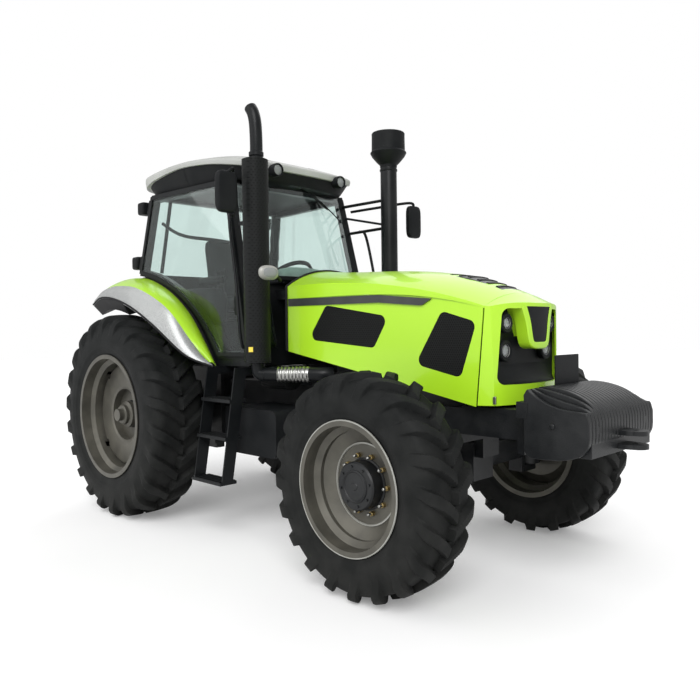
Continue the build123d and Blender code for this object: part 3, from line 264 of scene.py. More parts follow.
def split_place(tree, node):
    """The three Object coordinates, as sockets named X, Y and Z."""
    place, split = node("TexCoord"), node("SeparateXYZ")
    tree.links.new(place.outputs["Object"], split.inputs["Vector"])
    return split.outputs


def emboss(tree, node, shader, height, strength, depth):
    """Bump from a height socket, on the shader's normal."""
    relief = node("Bump", Strength=strength, Distance=depth)
    tree.links.new(height, relief.inputs["Height"])
    tree.links.new(relief.outputs["Normal"], shader.inputs["Normal"])


def plain_values(shader, **values):
    """Values that are the same all over a surface, set on the shader's own sockets."""
    for key, value in values.items():
        shader.inputs[key.replace("_", " ")].default_value = value


soil = (0.32, 0.28, 0.22)


def finish(name, colour, second, rough, metal=0.0, patch=6.0, grain=300.0, bump=0.05, coat=0.0,
           dust=0.0, shine=0.5):
    """A finish: two colours blotched by noise, fine grain as bump, dust near the ground.

    patch and grain are the scales of the two noises, and shine is the level of the
    plain reflection, low where the real surface is matt.
    """
    material, tree, shader, node = new_material(name)
    link = tree.links.new
    blotch = noise(tree, node, patch, 5.0)
    spread = node("MapRange", From_Min=0.35, From_Max=0.65)
    link(blotch, spread.inputs["Value"])
    base = colour_mix(tree, node, spread.outputs["Result"], colour, second)
    if dust:
        split = split_place(tree, node)
        low = node("MapRange", From_Min=1.4, From_Max=0.0, To_Min=0.0, To_Max=dust)
        link(split["Z"], low.inputs["Value"])
        patchy = node("Math", operation="MULTIPLY")
        link(low.outputs["Result"], patchy.inputs[0])
        link(blotch, patchy.inputs[1])
        base = colour_mix(tree, node, patchy.outputs[0], base, soil)
    link(base, shader.inputs["Base Color"])
    gloss = node("MapRange", To_Min=max(rough - 0.07, 0.02), To_Max=min(rough + 0.07, 1.0))
    link(blotch, gloss.inputs["Value"])
    link(gloss.outputs["Result"], shader.inputs["Roughness"])
    emboss(tree, node, shader, noise(tree, node, grain, 3.0), bump, 0.002)
    plain_values(shader, Metallic=metal, Coat_Weight=coat, Specular_IOR_Level=shine)
    return material


lime = finish("hood_paint", (0.44, 0.80, 0.020), (0.47, 0.83, 0.028), 0.32, patch=2.0, grain=900,
              bump=0.02, coat=0.5)
black_paint = finish("frame_paint", (0.006, 0.007, 0.008), (0.011, 0.012, 0.013), 0.35, patch=5,
                     bump=0.04, shine=0.2)
black_plastic = finish("moulded_plastic", (0.007, 0.008, 0.009), (0.012, 0.013, 0.014), 0.5,
                       grain=700, bump=0.2, shine=0.14)
cast_black = finish("cast_iron", (0.006, 0.007, 0.008), (0.014, 0.015, 0.016), 0.42, patch=9,
                    grain=160, bump=0.45, shine=0.4)
steel = finish("bare_steel", (0.36, 0.36, 0.35), (0.46, 0.46, 0.44), 0.32, metal=1.0, patch=12,
               grain=500, bump=0.08)
brass = finish("brass_nut", (0.45, 0.33, 0.13), (0.55, 0.42, 0.20), 0.35, metal=1.0, patch=30,
               bump=0.06)
roof_grey = finish("roof_shell", (0.40, 0.41, 0.39), (0.47, 0.48, 0.46), 0.38, patch=3, grain=600,
                   bump=0.05)
silver_paint = finish("cast_silver", (0.34, 0.34, 0.31), (0.44, 0.44, 0.41), 0.42, metal=0.4,
                      patch=7, grain=240, bump=0.2)
khaki_rim = finish("rim_paint", (0.085, 0.082, 0.070), (0.13, 0.125, 0.105), 0.38, metal=0.5,
                   patch=6, grain=500, bump=0.06, dust=0.1)
rubber = finish("tyre_rubber", (0.008, 0.009, 0.009), (0.016, 0.017, 0.017), 0.62, patch=7,
                grain=350, bump=0.3, dust=0.03, shine=0.12)
seal_rubber = finish("rubber_seal", (0.006, 0.006, 0.007), (0.010, 0.010, 0.011), 0.6, patch=12,
                     bump=0.1, shine=0.3)
dark_stripe = finish("stripe_grey", (0.030, 0.034, 0.032), (0.045, 0.048, 0.046), 0.4, patch=8,
                     grain=900, bump=0.03)
mint_plastic = finish("dash_plastic", (0.32, 0.44, 0.38), (0.37, 0.49, 0.43), 0.6, patch=10,
                      grain=700, bump=0.12)
seat_cloth = finish("seat_fabric", (0.010, 0.014, 0.015), (0.020, 0.026, 0.027), 0.9, patch=40,
                    grain=1400, bump=0.5)
yellow_film = finish("sticker_film", (0.80, 0.62, 0.05), (0.84, 0.66, 0.08), 0.45, patch=20,
                     bump=0.03)
print("finishes", len(bpy.data.materials))

# %% [markdown]
# ## Patterned finishes
# Some surfaces carry a pattern: the vents are punched mesh, the exhaust's heat
# shield is full of round holes, the fender's skirt is a speckled silver below a
# lime band. Modelling thousands of holes would be heavy, so these are drawn by
# maths nodes on Object coordinates, with bump so that they catch the light.

# %% Mesh, holes, speckle and glass


def punched(name, base, hole, pitch, share, rough, metal=0.0, axes=("X", "Z")):
    """Round holes on a staggered grid: the distance to the nearest cell's middle."""
    material, tree, shader, node = new_material(name)
    link = tree.links.new
    split = split_place(tree, node)

    def maths(operation, first, second=None):
        """The result of one sum on sockets or plain numbers."""
        made = node("Math", operation=operation)
        for socket, value in zip(made.inputs, (first, second)):
            if isinstance(value, (int, float)):
                socket.default_value = value
            elif value is not None:
                link(value, socket)
        return made.outputs[0]

    across = maths("DIVIDE", split[axes[0]], pitch)
    up = maths("DIVIDE", split[axes[1]], pitch * 0.866)  # rows of a staggered grid
    odd = maths("MULTIPLY", maths("FLOORED_MODULO", maths("FLOOR", up), 2.0), 0.5)
    dx = maths("SUBTRACT", maths("FRACT", maths("ADD", across, odd)), 0.5)
    dz = maths("SUBTRACT", maths("FRACT", up), 0.5)
    span = maths("SQRT", maths("ADD", maths("MULTIPLY", dx, dx), maths("MULTIPLY", dz, dz)))
    edge = node("MapRange", From_Min=share - 0.05, From_Max=share + 0.05)
    link(span, edge.inputs["Value"])
    link(colour_mix(tree, node, edge.outputs["Result"], hole, base), shader.inputs["Base Color"])
    emboss(tree, node, shader, edge.outputs["Result"], 0.6, 0.003)
    plain_values(shader, Roughness=rough, Metallic=metal, Specular_IOR_Level=0.15)
    return material


vent_mesh = punched("vent_mesh", (0.011, 0.012, 0.012), (0.002, 0.002, 0.002), 0.016, 0.36, 0.5)
shield_holes = punched("shield_holes", (0.010, 0.011, 0.011), (0.003, 0.003, 0.003), 0.022, 0.22,
                       0.42, axes=("Y", "Z"))
tread_holes = punched("tread_plate", (0.014, 0.015, 0.016), (0.002, 0.002, 0.002), 0.05, 0.33, 0.5,
                      axes=("X", "Y"))


def speckled(name, dark, light, rough):
    """Silver with fine dark specks: a sharp threshold on fine noise."""
    material, tree, shader, node = new_material(name)
    speck = noise(tree, node, 260.0, 2.0)
    sharp = node("MapRange", From_Min=0.42, From_Max=0.60)
    tree.links.new(speck, sharp.inputs["Value"])
    mixed = colour_mix(tree, node, sharp.outputs["Result"], dark, light)
    tree.links.new(mixed, shader.inputs["Base Color"])
    emboss(tree, node, shader, speck, 0.08, 0.001)
    plain_values(shader, Roughness=rough, Metallic=0.3, Coat_Weight=0.3)
    return material


def clear_finish(name, colour, rough, through, waves=0.0, pitch=120.0, metal=0.0):
    """Glass or a lens: light passes, with faint smears, and flutes if waves is set."""
    material, tree, shader, node = new_material(name)
    link = tree.links.new
    smear = noise(tree, node, 4.0, 3.0)
    haze = node("MapRange", To_Min=rough, To_Max=rough + 0.05)
    link(smear, haze.inputs["Value"])
    link(haze.outputs["Result"], shader.inputs["Roughness"])
    tone = tuple(0.93 * c for c in colour)
    link(colour_mix(tree, node, smear, colour, tone), shader.inputs["Base Color"])
    if waves:
        place, flutes = node("TexCoord"), node("TexWave", Scale=pitch, bands_direction="Y")
        link(place.outputs["Object"], flutes.inputs["Vector"])
        emboss(tree, node, shader, flutes.outputs["Fac"], waves, 0.002)
    plain_values(shader, Transmission_Weight=through, IOR=1.45, Metallic=metal)
    return material


fender_silver = speckled("fender_silver", (0.26, 0.27, 0.27), (0.52, 0.53, 0.52), 0.36)
tinted_glass = clear_finish("tinted_glass", (0.80, 0.90, 0.875), 0.0, 1.0)
lens = clear_finish("lamp_lens", (0.62, 0.65, 0.66), 0.05, 0.6, waves=0.35)
mirror_glass = clear_finish("mirror_glass", (0.75, 0.78, 0.80), 0.02, 0.0, metal=1.0)

# %% A finish for every CAD node
dressed_in = (
    # finish, CAD nodes (the tyres get rubber)
    (cast_black, "chassis_frame engine_block transmission_housing rear_axle_housing"),
    (cast_black, "front_axle_beam front_weights drawbar knuckle_right knuckle_left"),
    (cast_black, "lift_arms lower_links"),
    (black_plastic, "side_tanks roof_band steering_console cab_lamps mirrors"),
    (black_paint, "steps cab_frame exhaust air_intake door_frame_right door_frame_left"),
    (tinted_glass, "cab_glass door_glass_right door_glass_left"),
    (lime, "fenders hood_top hood_sides nose_cowl"),
    (steel, "steering_rod lift_rods top_link pto_shaft"),
    (khaki_rim, "rim_front_right rim_front_left rim_rear_right rim_rear_left"),
    (roof_grey, "cab_roof"), (seat_cloth, "seat"), (vent_mesh, "hood_grilles"), (lens, "headlamps"),
)
node_finish = {name: material for material, names in dressed_in for name in names.split()}
for node_name, node in nodes.items():
    chosen = node_finish.get(node_name, rubber)
    for place in node.material_slots:
        place.material = chosen
    if not node.material_slots:
        node.data.materials.append(chosen)
print("nodes dressed", len(nodes))

# %% [markdown]
# ## Tyres
# A drive tyre has two rows of rubber bars that lean towards the middle and meet in
# a chevron. Its casing is one closed profile, and the bars are a height laid on it:
# for each point of the surface, the distance to the nearest bar's curved middle
# line says how far the rubber stands out. That gives round corners and sloping
# flanks in one grid, which separate blocks would not.

# %% Work out a tyre as one surface
# share of the half width, share from the rim seat to the casing's crown, share of the bar's height
tyre_profile = np.array([
    (0.000, 1.000, 1.00), (0.180, 0.999, 1.00), (0.343, 0.997, 1.00), (0.500, 0.990, 1.00),
    (0.644, 0.978, 1.00), (0.730, 0.958, 0.97), (0.798, 0.931, 0.90), (0.850, 0.895, 0.75),
    (0.885, 0.855, 0.60), (0.914, 0.790, 0.42), (0.945, 0.700, 0.20), (0.968, 0.620, 0.05),
    (0.982, 0.540, 0.00), (0.990, 0.450, 0.00), (0.982, 0.360, 0.00), (0.955, 0.270, 0.00),
    (0.915, 0.180, 0.00), (0.880, 0.090, 0.00), (0.850, 0.010, 0.00),
])
liner_profile = np.array([(0.745, 0.02, 0.0), (0.81, 0.3, 0.0), (0.81, 0.56, 0.0),
                          (0.70, 0.80, 0.0), (0.35, 0.88, 0.0)])


def tyre_section():
    """The closed profile: outer side from bead to bead, then back along the liner."""
    fine = smooth_path(tyre_profile, 46)
    outer = np.vstack([fine[::-1] * (-1, 1, 1), fine[1:]])
    inner = np.vstack([liner_profile, liner_profile[::-1] * (-1, 1, 1)])
    return np.vstack([outer, inner]), len(outer)


def bar_height(turn, share, arc, radius, count, half_width, lead):
    """Height share of the bars at angle and crown-to-shoulder share.

    A bar's middle line leads by lead x (1 - share)^1.35, so it runs across the tyre
    at the shoulder and turns along it near the middle. The height falls from one to
    zero over a flank on each side of that line and before the tyre's centre.
    """
    flank = 0.009
    height = np.zeros(np.broadcast(turn, share).shape)
    pitch = 2 * pi / count
    for row, stagger in ((1, 0.0), (-1, 0.5)):
        own = np.clip(row * share, 0.0, 1.0)
        line = lead * (1 - own) ** 1.35
        slope = radius * 1.35 * lead * (1 - own) ** 0.35 / arc
        away = (turn - line - stagger * pitch + pitch / 2) % pitch - pitch / 2
        away = radius * np.abs(away) / np.sqrt(1 + slope**2)
        widen = half_width * (1 + 0.25 * own)
        side = np.clip((widen + flank - away) / flank, 0, 1)
        nose = np.clip((row * share * arc + 0.012) / flank, 0, 1)
        height = np.maximum(height, side * side * (3 - 2 * side) * nose * nose * (3 - 2 * nose))
    return height


def tyre_surface(centre, radius, width, rim_radius, bar, count, half_width, lead, steps):
    """The tyre's grid: profile point + bar height along the profile's outward normal."""
    section, outer_count = tyre_section()
    seat = rim_radius - 0.024
    across = section[:, 0] * width / 2
    out = seat + section[:, 1] * (radius - bar - seat)
    run = np.stack([np.gradient(across), np.gradient(out)], axis=1)
    normal = unit(np.stack([-run[:, 1], run[:, 0]], axis=1))
    line = np.stack([across, out])
    arc = np.cumsum(np.hypot(*np.diff(line, axis=1, prepend=line[:, :1])))
    crown = (outer_count - 1) // 2
    shoulder = arc[outer_count - 13] - arc[crown]
    share = (arc - arc[crown]) / shoulder
    turn = np.linspace(0, 2 * pi, steps, endpoint=False)[:, None]
    stand = bar_height(turn, share[None], shoulder, radius, count, half_width, lead)
    stand = stand * section[:, 2] * bar
    height = section[:, 1]  # two low ridges run round each sidewall
    ridge = np.exp(-(((height - 0.30) / 0.022) ** 2)) + np.exp(-(((height - 0.13) / 0.018) ** 2))
    ridge = 0.004 * ridge
    outside = np.arange(len(section)) < outer_count
    stand = (stand + ridge) * outside
    y = np.clip(across + stand * normal[:, 0], -width / 2, width / 2)
    r = np.minimum(out + stand * normal[:, 1], radius)
    cx, cy, cz = centre
    return np.stack([cx + r * np.sin(turn), cy + y, cz + r * np.cos(turn)], axis=-1)


# %% Make the four tyres
tyre_sizes = {
    # radius, width, rim radius, bar height, bars, half width of a bar, lead, steps
    "rear": (0.838, 0.466, 0.508, 0.042, 22, 0.030, 0.27, 880),
    "front": (0.644, 0.376, 0.381, 0.038, 20, 0.026, 0.29, 800),
}
for end, sizes in tyre_sizes.items():
    for side in ("right", "left"):
        node = f"tyre_{end}_{side}"
        grid = tyre_surface(middle_of(node), *sizes)
        tyre = piece(f"{node}_lugged", [skin(grid, wrap_u=True, wrap_v=True)], rubber,
                     body=f"wheel_{end}_{side}", crease=38)
        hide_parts(node)
    print(end, "tyre faces", len(tyre.data.polygons))

# %% [markdown]
# ## Wheel centres
# The CAD rims have the right barrels and discs. What they lack is what turns
# machinery into a wheel: studs with nuts, a stepped hub and bright rings. Each
# is a small profile turned about the wheel's axis or about its own.

# %% Studs, nuts and hub rings


def skin_ring(profile, centre, axis, steps=120):
    """A closed profile of (run, radius) turned about an axis, as a ring with no caps."""
    grid = turned(profile, centre, axis, steps)[0].reshape(steps, len(profile), 3)
    return skin(grid, wrap_u=True, wrap_v=True)


def bolts(centre, out, circle, count, start, length, radius, nut, nut_length):
    """Studs with six-sided nuts at equal angles on a circle facing out along y."""
    studs, nuts = [], []
    for angle in start + np.arange(count) * 2 * pi / count:
        place = np.array(centre) + (circle * np.cos(angle), 0, circle * np.sin(angle))
        axis = (0, out, 0)
        studs.append(turned([(0, radius), (length - 0.003, radius), (length, radius * 0.6)], place,
                            axis, 12))
        nuts.append(turned([(0, nut), (nut_length - 0.002, nut), (nut_length, nut * 0.85)], place,
                           axis, 6))
    return studs, nuts


# Profiles of (run outward from the wheel's middle, radius).
front_hub = [(0.006, 0.150), (0.014, 0.150), (0.018, 0.139), (0.092, 0.1385), (0.101, 0.130),
             (0.1015, 0.094), (0.106, 0.092), (0.109, 0.086), (0.106, 0.080), (0.103, 0.078),
             (0.103, 0.022), (0.107, 0.018)]
front_lip = [(0.1755, 0.372), (0.1805, 0.376), (0.1812, 0.381), (0.1765, 0.3835), (0.1745, 0.378)]
front_step = [(0.012, 0.2395), (0.017, 0.2380), (0.017, 0.2300), (0.011, 0.2270)]
# The rear disc's profile; its silver finish is a painted highlight over the front rim's
# khaki-silver.
rear_disc_painted_highlight = [(0.058, 0.392), (0.066, 0.398), (0.068, 0.385), (0.068, 0.345), (0.074, 0.335),
             (0.074, 0.245), (0.082, 0.238), (0.084, 0.224), (0.080, 0.217), (0.058, 0.216)]
rear_dish = [(0.0645, 0.214), (0.0665, 0.210), (0.064, 0.19), (0.064, 0.165), (0.070, 0.160),
             (0.070, 0.120), (0.100, 0.112), (0.104, 0.070), (0.130, 0.066), (0.134, 0.020)]
rear_lip = [(0.2135, 0.499), (0.2185, 0.503), (0.2192, 0.508), (0.2145, 0.5105), (0.2125, 0.505)]
bolt_sets = {
    # run of the face, then circle, count, start, length, radius, nut, nut length
    "front": (0.008, 0.1675, 10, 0.0, 0.048, 0.009, 0.015, 0.022),
    "front cap": (0.101, 0.112, 8, 0.2, 0.006, 0.004, 0.008, 0.007),
    "rear": (0.066, 0.283, 6, 0.0, 0.034, 0.010, 0.020, 0.020),
}


def bolt_set(name, centre, out):
    """Studs and nuts of one set, on the face that lies its run out from the centre."""
    run, *sizes = bolt_sets[name]
    return bolts(np.array(centre) + (0, out * run, 0), out, *sizes)


for side, out in (("right", -1), ("left", 1)):
    centre, axis = middle_of(f"rim_front_{side}"), (0, out, 0)
    body = f"wheel_front_{side}"
    studs, nuts = bolt_set("front", centre, out)
    piece(f"front_studs_{side}", studs, steel, body=body)
    piece(f"front_nuts_{side}", nuts, brass, body=body)
    hub = [turned(front_hub, centre, axis, 96)] + bolt_set("front cap", centre, out)[1]
    piece(f"front_hub_{side}", hub, cast_black, body=body)
    rings = [skin_ring(profile, centre, axis) for profile in (front_lip, front_step)]
    piece(f"front_rim_rings_{side}", rings, silver_paint, body=body)

    centre, body = middle_of(f"rim_rear_{side}"), f"wheel_rear_{side}"
    studs, nuts = bolt_set("rear", centre, out)
    piece(f"rear_bolts_{side}", studs + nuts, steel, body=body)
    # Painted highlight: the rear disc is the front rim's khaki-silver, and its silver paint stands
    # for the light falling on it.
    painted_highlight_disc = skin_ring(rear_disc_painted_highlight, centre, axis, 144)
    piece(f"rear_disc_painted_highlight_{side}", [painted_highlight_disc], silver_paint, body=body)
    piece(f"rear_hub_{side}", [turned(rear_dish, centre, axis, 96)], cast_black, body=body)
    lip = skin_ring(rear_lip, centre, axis, 144)
    piece(f"rear_rim_ring_{side}", [lip], silver_paint, body=body)
print("bolt sets", {name: row[2] for name, row in bolt_sets.items()})

# %% [markdown]
# ## Hood trim
# A hood is more than a green shell: a rubber seal closes its rear edge, a dark
# stripe runs under the seam of its sides and a ribbed panel sits on its top. The
# seam, shoulder and crown heights are a small table along the hood, so each strip
# is the hood's own formula with a small step outward.

# %% The hood's shape as a formula
hood_stations = np.array([
    # from the rear axle, half width, seam, shoulder, crown
    (1.500, 0.450, 1.763, 1.850, 1.985), (2.400, 0.432, 1.752, 1.820, 1.925),
    (2.900, 0.414, 1.705, 1.735, 1.845), (3.205, 0.396, 1.637, 1.650, 1.735),
])


def hood_line(distance, column):
    """One column of the hood's table, read between its stations."""
    return np.interp(distance, hood_stations[:, 0], hood_stations[:, column])


def hood_crown(distance, y):
    """Height of the hood's top: a circle through both shoulders and the crown."""
    half, shoulder, crown = (hood_line(distance, k) for k in (1, 3, 4))
    rise = crown - shoulder
    radius = (half**2 + rise**2) / (2 * rise)
    return crown - radius + np.sqrt(radius**2 - y**2)


def ribbon(distance, low, high, side, out, depth):
    """A strip on the hood's side between two heights, as a closed band."""
    y = side * (hood_line(distance, 1) + out)
    inner = y - side * depth
    x = rear_x + distance
    ring_points = [(x, y, low), (x, y, high), (x, inner, high), (x, inner, low)]
    grid = np.stack([np.stack(np.broadcast_arrays(*p), axis=-1) for p in ring_points], axis=1)
    return skin(grid, wrap_v=True, cap_u=True)


distance = np.linspace(1.508, 2.83, 60)
seam = hood_line(distance, 2)
end = np.clip((distance - 2.755) / 0.075, 0, 1)
taper = 1 - np.clip((distance - 1.5) / 1.2, 0, 1)
for side, word in ((-1, "right"), (1, "left")):
    low = seam - 0.052 + end * 0.052 * 0.9 - 0.04 * taper * 0.2
    stripe = ribbon(distance, low, seam - 0.004, side, 0.0022, 0.006)
    piece(f"hood_stripe_{word}", [stripe], dark_stripe, body="hood")
print("hood half width, seam, shoulder, crown", hood_stations[0, 1:])

# %% The rear seal, the top panel and its ribs
seal_x, hood_start = rear_x + 1.494, 1.5
y = np.linspace(-0.45, 0.45, 41)
arch = np.stack([np.full(len(y), seal_x), y, hood_crown(hood_start, y) + 0.002], axis=1)
foot = np.array([(seal_x, -0.455, z) for z in np.linspace(1.375, 1.84, 12)])
seal_path = np.vstack([foot, arch, (foot * (1, -1, 1))[::-1]])
piece("hood_rear_seal", [tube(seal_path, 0.011, 10)], seal_rubber, body="hood")


def hood_patch(start, finish_at, half, rise, rows=30, columns=25, taper=0.0):
    """A thin raised panel on the hood's top: the crown formula plus a rise, eased at its edge."""
    d = np.linspace(start, finish_at, rows)[:, None]
    s = np.linspace(-1, 1, columns)[None]
    y = s * (half - taper * (d - start) / (finish_at - start))
    to_end = np.minimum(d - start, finish_at - d) / (finish_at - start) + 0 * s
    edge = np.minimum(1, 12 * np.minimum(1 - np.abs(s), to_end))
    z = hood_crown(d, y) - 0.006 + (rise + 0.006) * edge**0.5
    top = np.stack(np.broadcast_arrays(rear_x + d, y, z), axis=-1)
    low = top - (0, 0, 0.02)
    ring_grid = np.concatenate([top, low[:, ::-1]], axis=1)
    return skin(ring_grid, wrap_v=True, cap_u=True)


piece("hood_top_panel", [hood_patch(2.70, 3.17, 0.15, 0.007, taper=0.03)], dark_stripe, body="hood")
ribs = [hood_patch(2.735 + k * 0.07, 2.765 + k * 0.07, 0.115, 0.013, rows=7, columns=15)
        for k in range(6)]
piece("hood_top_ribs", ribs, black_plastic, body="hood")
print("hood ribs", len(ribs))

# %% [markdown]
# ## Nose, headlamps and weights
# The lamps sit deep in a dark recess. Each one is a bright bowl behind a clear
# lens with a ring round it, turned about its own axis, because a reflector is
# what makes a lamp read as a lamp. A black curved ledge closes the recess below.

# %% Lamp bowls, rings and the ledge
nose_back = 3.205  # floor of the recess, from the rear axle
nose_front = 3.335  # middle of the bowed front
nose_corner, nose_bow = 0.372, 0.095  # half width of the front and depth of its bow
lamp_rows = [
    # out, up, radius, distance from the rear axle
    (0.233, 1.385, 0.050, nose_back + 0.034), (0.248, 1.549, 0.044, nose_back + 0.052),
]
bowls, rims, glints = [], [], []
for side in (-1, 1):
    for lamp_y, lamp_z, radius, reach in lamp_rows:
        place = at(reach, side * lamp_y, lamp_z)
        bowl = [(-0.02, radius + 0.0145), (0.004, radius + 0.0145), (0.009, radius + 0.008),
                (0.004, radius * 0.80), (-0.004, radius * 0.74), (-0.02, radius * 0.76)]
        rim = [(0.000, radius * 0.76), (0.006, radius * 0.79), (0.000, radius * 0.82)]
        bowls.append(skin_ring(bowl, place, (1, 0, 0), 48))
        rims.append(skin_ring(rim, place, (1, 0, 0), 48))
        step = np.linspace(0, 1, 10)
        dome = np.stack([-0.004 + 0.010 * (1 - step**2), radius * 0.77 * step], axis=1)[1:]
        glints.append(turned(np.vstack([dome, [(-0.007, radius * 0.77)]]), place, (1, 0, 0), 48))
piece("headlamp_bezels", bowls, black_plastic, body="hood")
piece("headlamp_rims", rims, steel, body="hood")
piece("headlamp_lenses", glints, lens, body="hood")
covers = [slab(at(nose_back + 0.0005, -nose_corner, 1.12),
               at(nose_back + 0.004, nose_corner, 1.64))]
piece("nose_back_panel", covers, black_plastic, body="hood")


def bow(y):
    """Front of the bowed nose in plan: the arc through its corners and its middle."""
    radius = (nose_corner**2 + nose_bow**2) / (2 * nose_bow)
    return rear_x + nose_front - radius + np.sqrt(radius**2 - np.asarray(y) ** 2)


u_line = smooth_path([(-0.158, 1.652), (-0.122, 1.56), (-0.096, 1.448), (-0.068, 1.417),
                      (0.0, 1.413), (0.068, 1.417), (0.096, 1.448), (0.122, 1.56), (0.158, 1.652)],
                     60)
across = unit(np.gradient(u_line, axis=0)) @ np.array([(0, 1), (-1, 0)])
rails = []
for offset, back in ((0.023, 0.0), (0.023, -0.075), (-0.020, -0.075), (-0.020, 0.0),
                     (-0.014, 0.005), (0.017, 0.005)):
    yz = u_line + across * offset
    rails.append(np.stack([bow(yz[:, 0]) + back, yz[:, 0], np.minimum(yz[:, 1], 1.655)], axis=1))
piece("nose_trim", [skin(np.stack(rails, axis=1), wrap_v=True, cap_u=True)], lime, body="hood",
      bevel=0.003)
panel_z = np.linspace(1.425, 1.648, 14)[:, None]
panel_half = np.interp(panel_z, (1.425, 1.45, 1.56, 1.648), (0.058, 0.082, 0.106, 0.142))
panel_y = np.linspace(-1, 1, 21)[None] * panel_half
face = np.stack(np.broadcast_arrays(bow(panel_y) + 0.002, panel_y, panel_z), axis=-1)
shell = np.concatenate([face, (face - (0.03, 0, 0))[:, ::-1]], axis=1)
piece("nose_badge_panel", [skin(shell, wrap_v=True, cap_u=True)], black_plastic, body="hood")

ledge_y = np.linspace(-0.345, 0.345, 31)[:, None]
ledge_s = np.linspace(0, 1, 13)[None]
ledge_back, ledge_front = nose_back + 0.001, nose_front - 0.013
ledge_x = rear_x + ledge_back + (ledge_front - 0.25 * ledge_y**2 / 0.35 - ledge_back) * ledge_s
ledge_z = 1.190 + 0.12 * (1 - ledge_s) ** 2.2 + 0 * ledge_y
ledge = np.stack(np.broadcast_arrays(ledge_x, ledge_y, ledge_z), axis=-1)
closed = np.concatenate([ledge, ledge[:, ::-1] - (0, 0, 0.02)], axis=1)
piece("nose_ledge", [skin(closed, wrap_v=True, cap_u=True)], black_plastic, body="hood")
print("headlamps", len(rims), "nose front", round(float(bow(0.0)), 3))

# %% Weights: thin slices side by side on a rod
weights_low, weights_high = box_of("front_weights")
slice_count, slice_gap = 22, 0.005
pitch = (weights_high[1] - weights_low[1]) / slice_count
upper = smooth_path([(3.465, 1.150), (3.50, 1.188), (3.60, 1.188), (3.70, 1.165), (3.78, 1.125),
                     (3.83, 1.075), (3.849, 1.02)], 30)
lower = smooth_path([(3.850, 0.95), (3.842, 0.90), (3.80, 0.845), (3.70, 0.812), (3.56, 0.803),
                     (3.49, 0.81), (3.465, 0.84)], 20)
slices = []
for number in range(slice_count):
    y = weights_low[1] + pitch * number + slice_gap / 2
    inward = min(number, slice_count - 1 - number)
    # The outer slices are scooped, most at the ends, so that the grips can be reached.
    scoop = 0.085 * max(0.0, 1 - inward / 3.2) ** 1.4
    lens_shape = np.clip(np.sin(pi * (upper[:, 0] - 3.49) / 0.34), 0, 1) ** 0.7
    edge = upper - np.stack([0 * lens_shape, scoop * lens_shape], axis=1)
    side_view = np.vstack([edge, lower])
    outline = np.stack([rear_x + side_view[:, 0], np.full(len(side_view), y), side_view[:, 1]],
                       axis=1)
    slices.append(prism(outline, (0, pitch - slice_gap, 0)))
weights = piece("weight_slices", slices, cast_black, bevel=0.004, crease=30)
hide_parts("front_weights")
core = slab(at(3.50, weights_low[1] + 0.04, 0.83), at(3.844, weights_high[1] - 0.04, 1.0))
grips = [slab(at(3.835, y - 0.03, 0.955), at(3.849, y + 0.03, 0.995)) for y in (-0.30, 0.30)]
keepers = [turned([(0, 0.016), (0.008, 0.016), (0.010, 0.010)], at(3.64, side * 0.413, 0.99),
                  (0, side, 0), 20) for side in (-1, 1)]
piece("weight_rod", [core] + grips + keepers, cast_black, bevel=0.003)
plate = slab(at(3.505, -0.14, 1.19), at(3.513, 0.14, 1.36))
piece("front_plate", [plate], black_plastic, bevel=0.002)
catches = [slab(at(3.243, y - 0.006, 1.08), at(3.262, y + 0.006, 1.125))
           for y in (-nose_corner, nose_corner)]
piece("nose_catches", catches, steel, body="hood", bevel=0.003)
print("front weights", weights_low.round(3), weights_high.round(3))

# %% [markdown]
# ## Lamps and mirrors on the cab
# Turn lamps, work lamps and mirrors are soft boxes. A superellipsoid is the shape
# for them: sines and cosines raised to a small power give flat faces that roll
# into round edges, in a single closed surface with no bevel needed.

# %% Soft boxes


def soft_box(centre, half, roundness=0.35, rows=18, columns=32):
    """Superellipsoid: half size x signed power of the sphere's sines and cosines."""
    up = np.linspace(-pi / 2, pi / 2, rows)[1:-1, None]
    round_turn = np.linspace(0, 2 * pi, columns, endpoint=False)[None]

    def power(wave):
        """A sine or cosine raised to the roundness, with its sign kept."""
        return np.sign(wave) * np.abs(wave) ** roundness

    x = power(np.cos(up)) * power(np.cos(round_turn))
    y = power(np.cos(up)) * power(np.sin(round_turn))
    z = power(np.sin(up)) + 0 * round_turn
    grid = np.asarray(centre) + np.stack([x, y, z], axis=-1) * np.asarray(half)
    return skin(grid, wrap_v=True, cap_u=True)


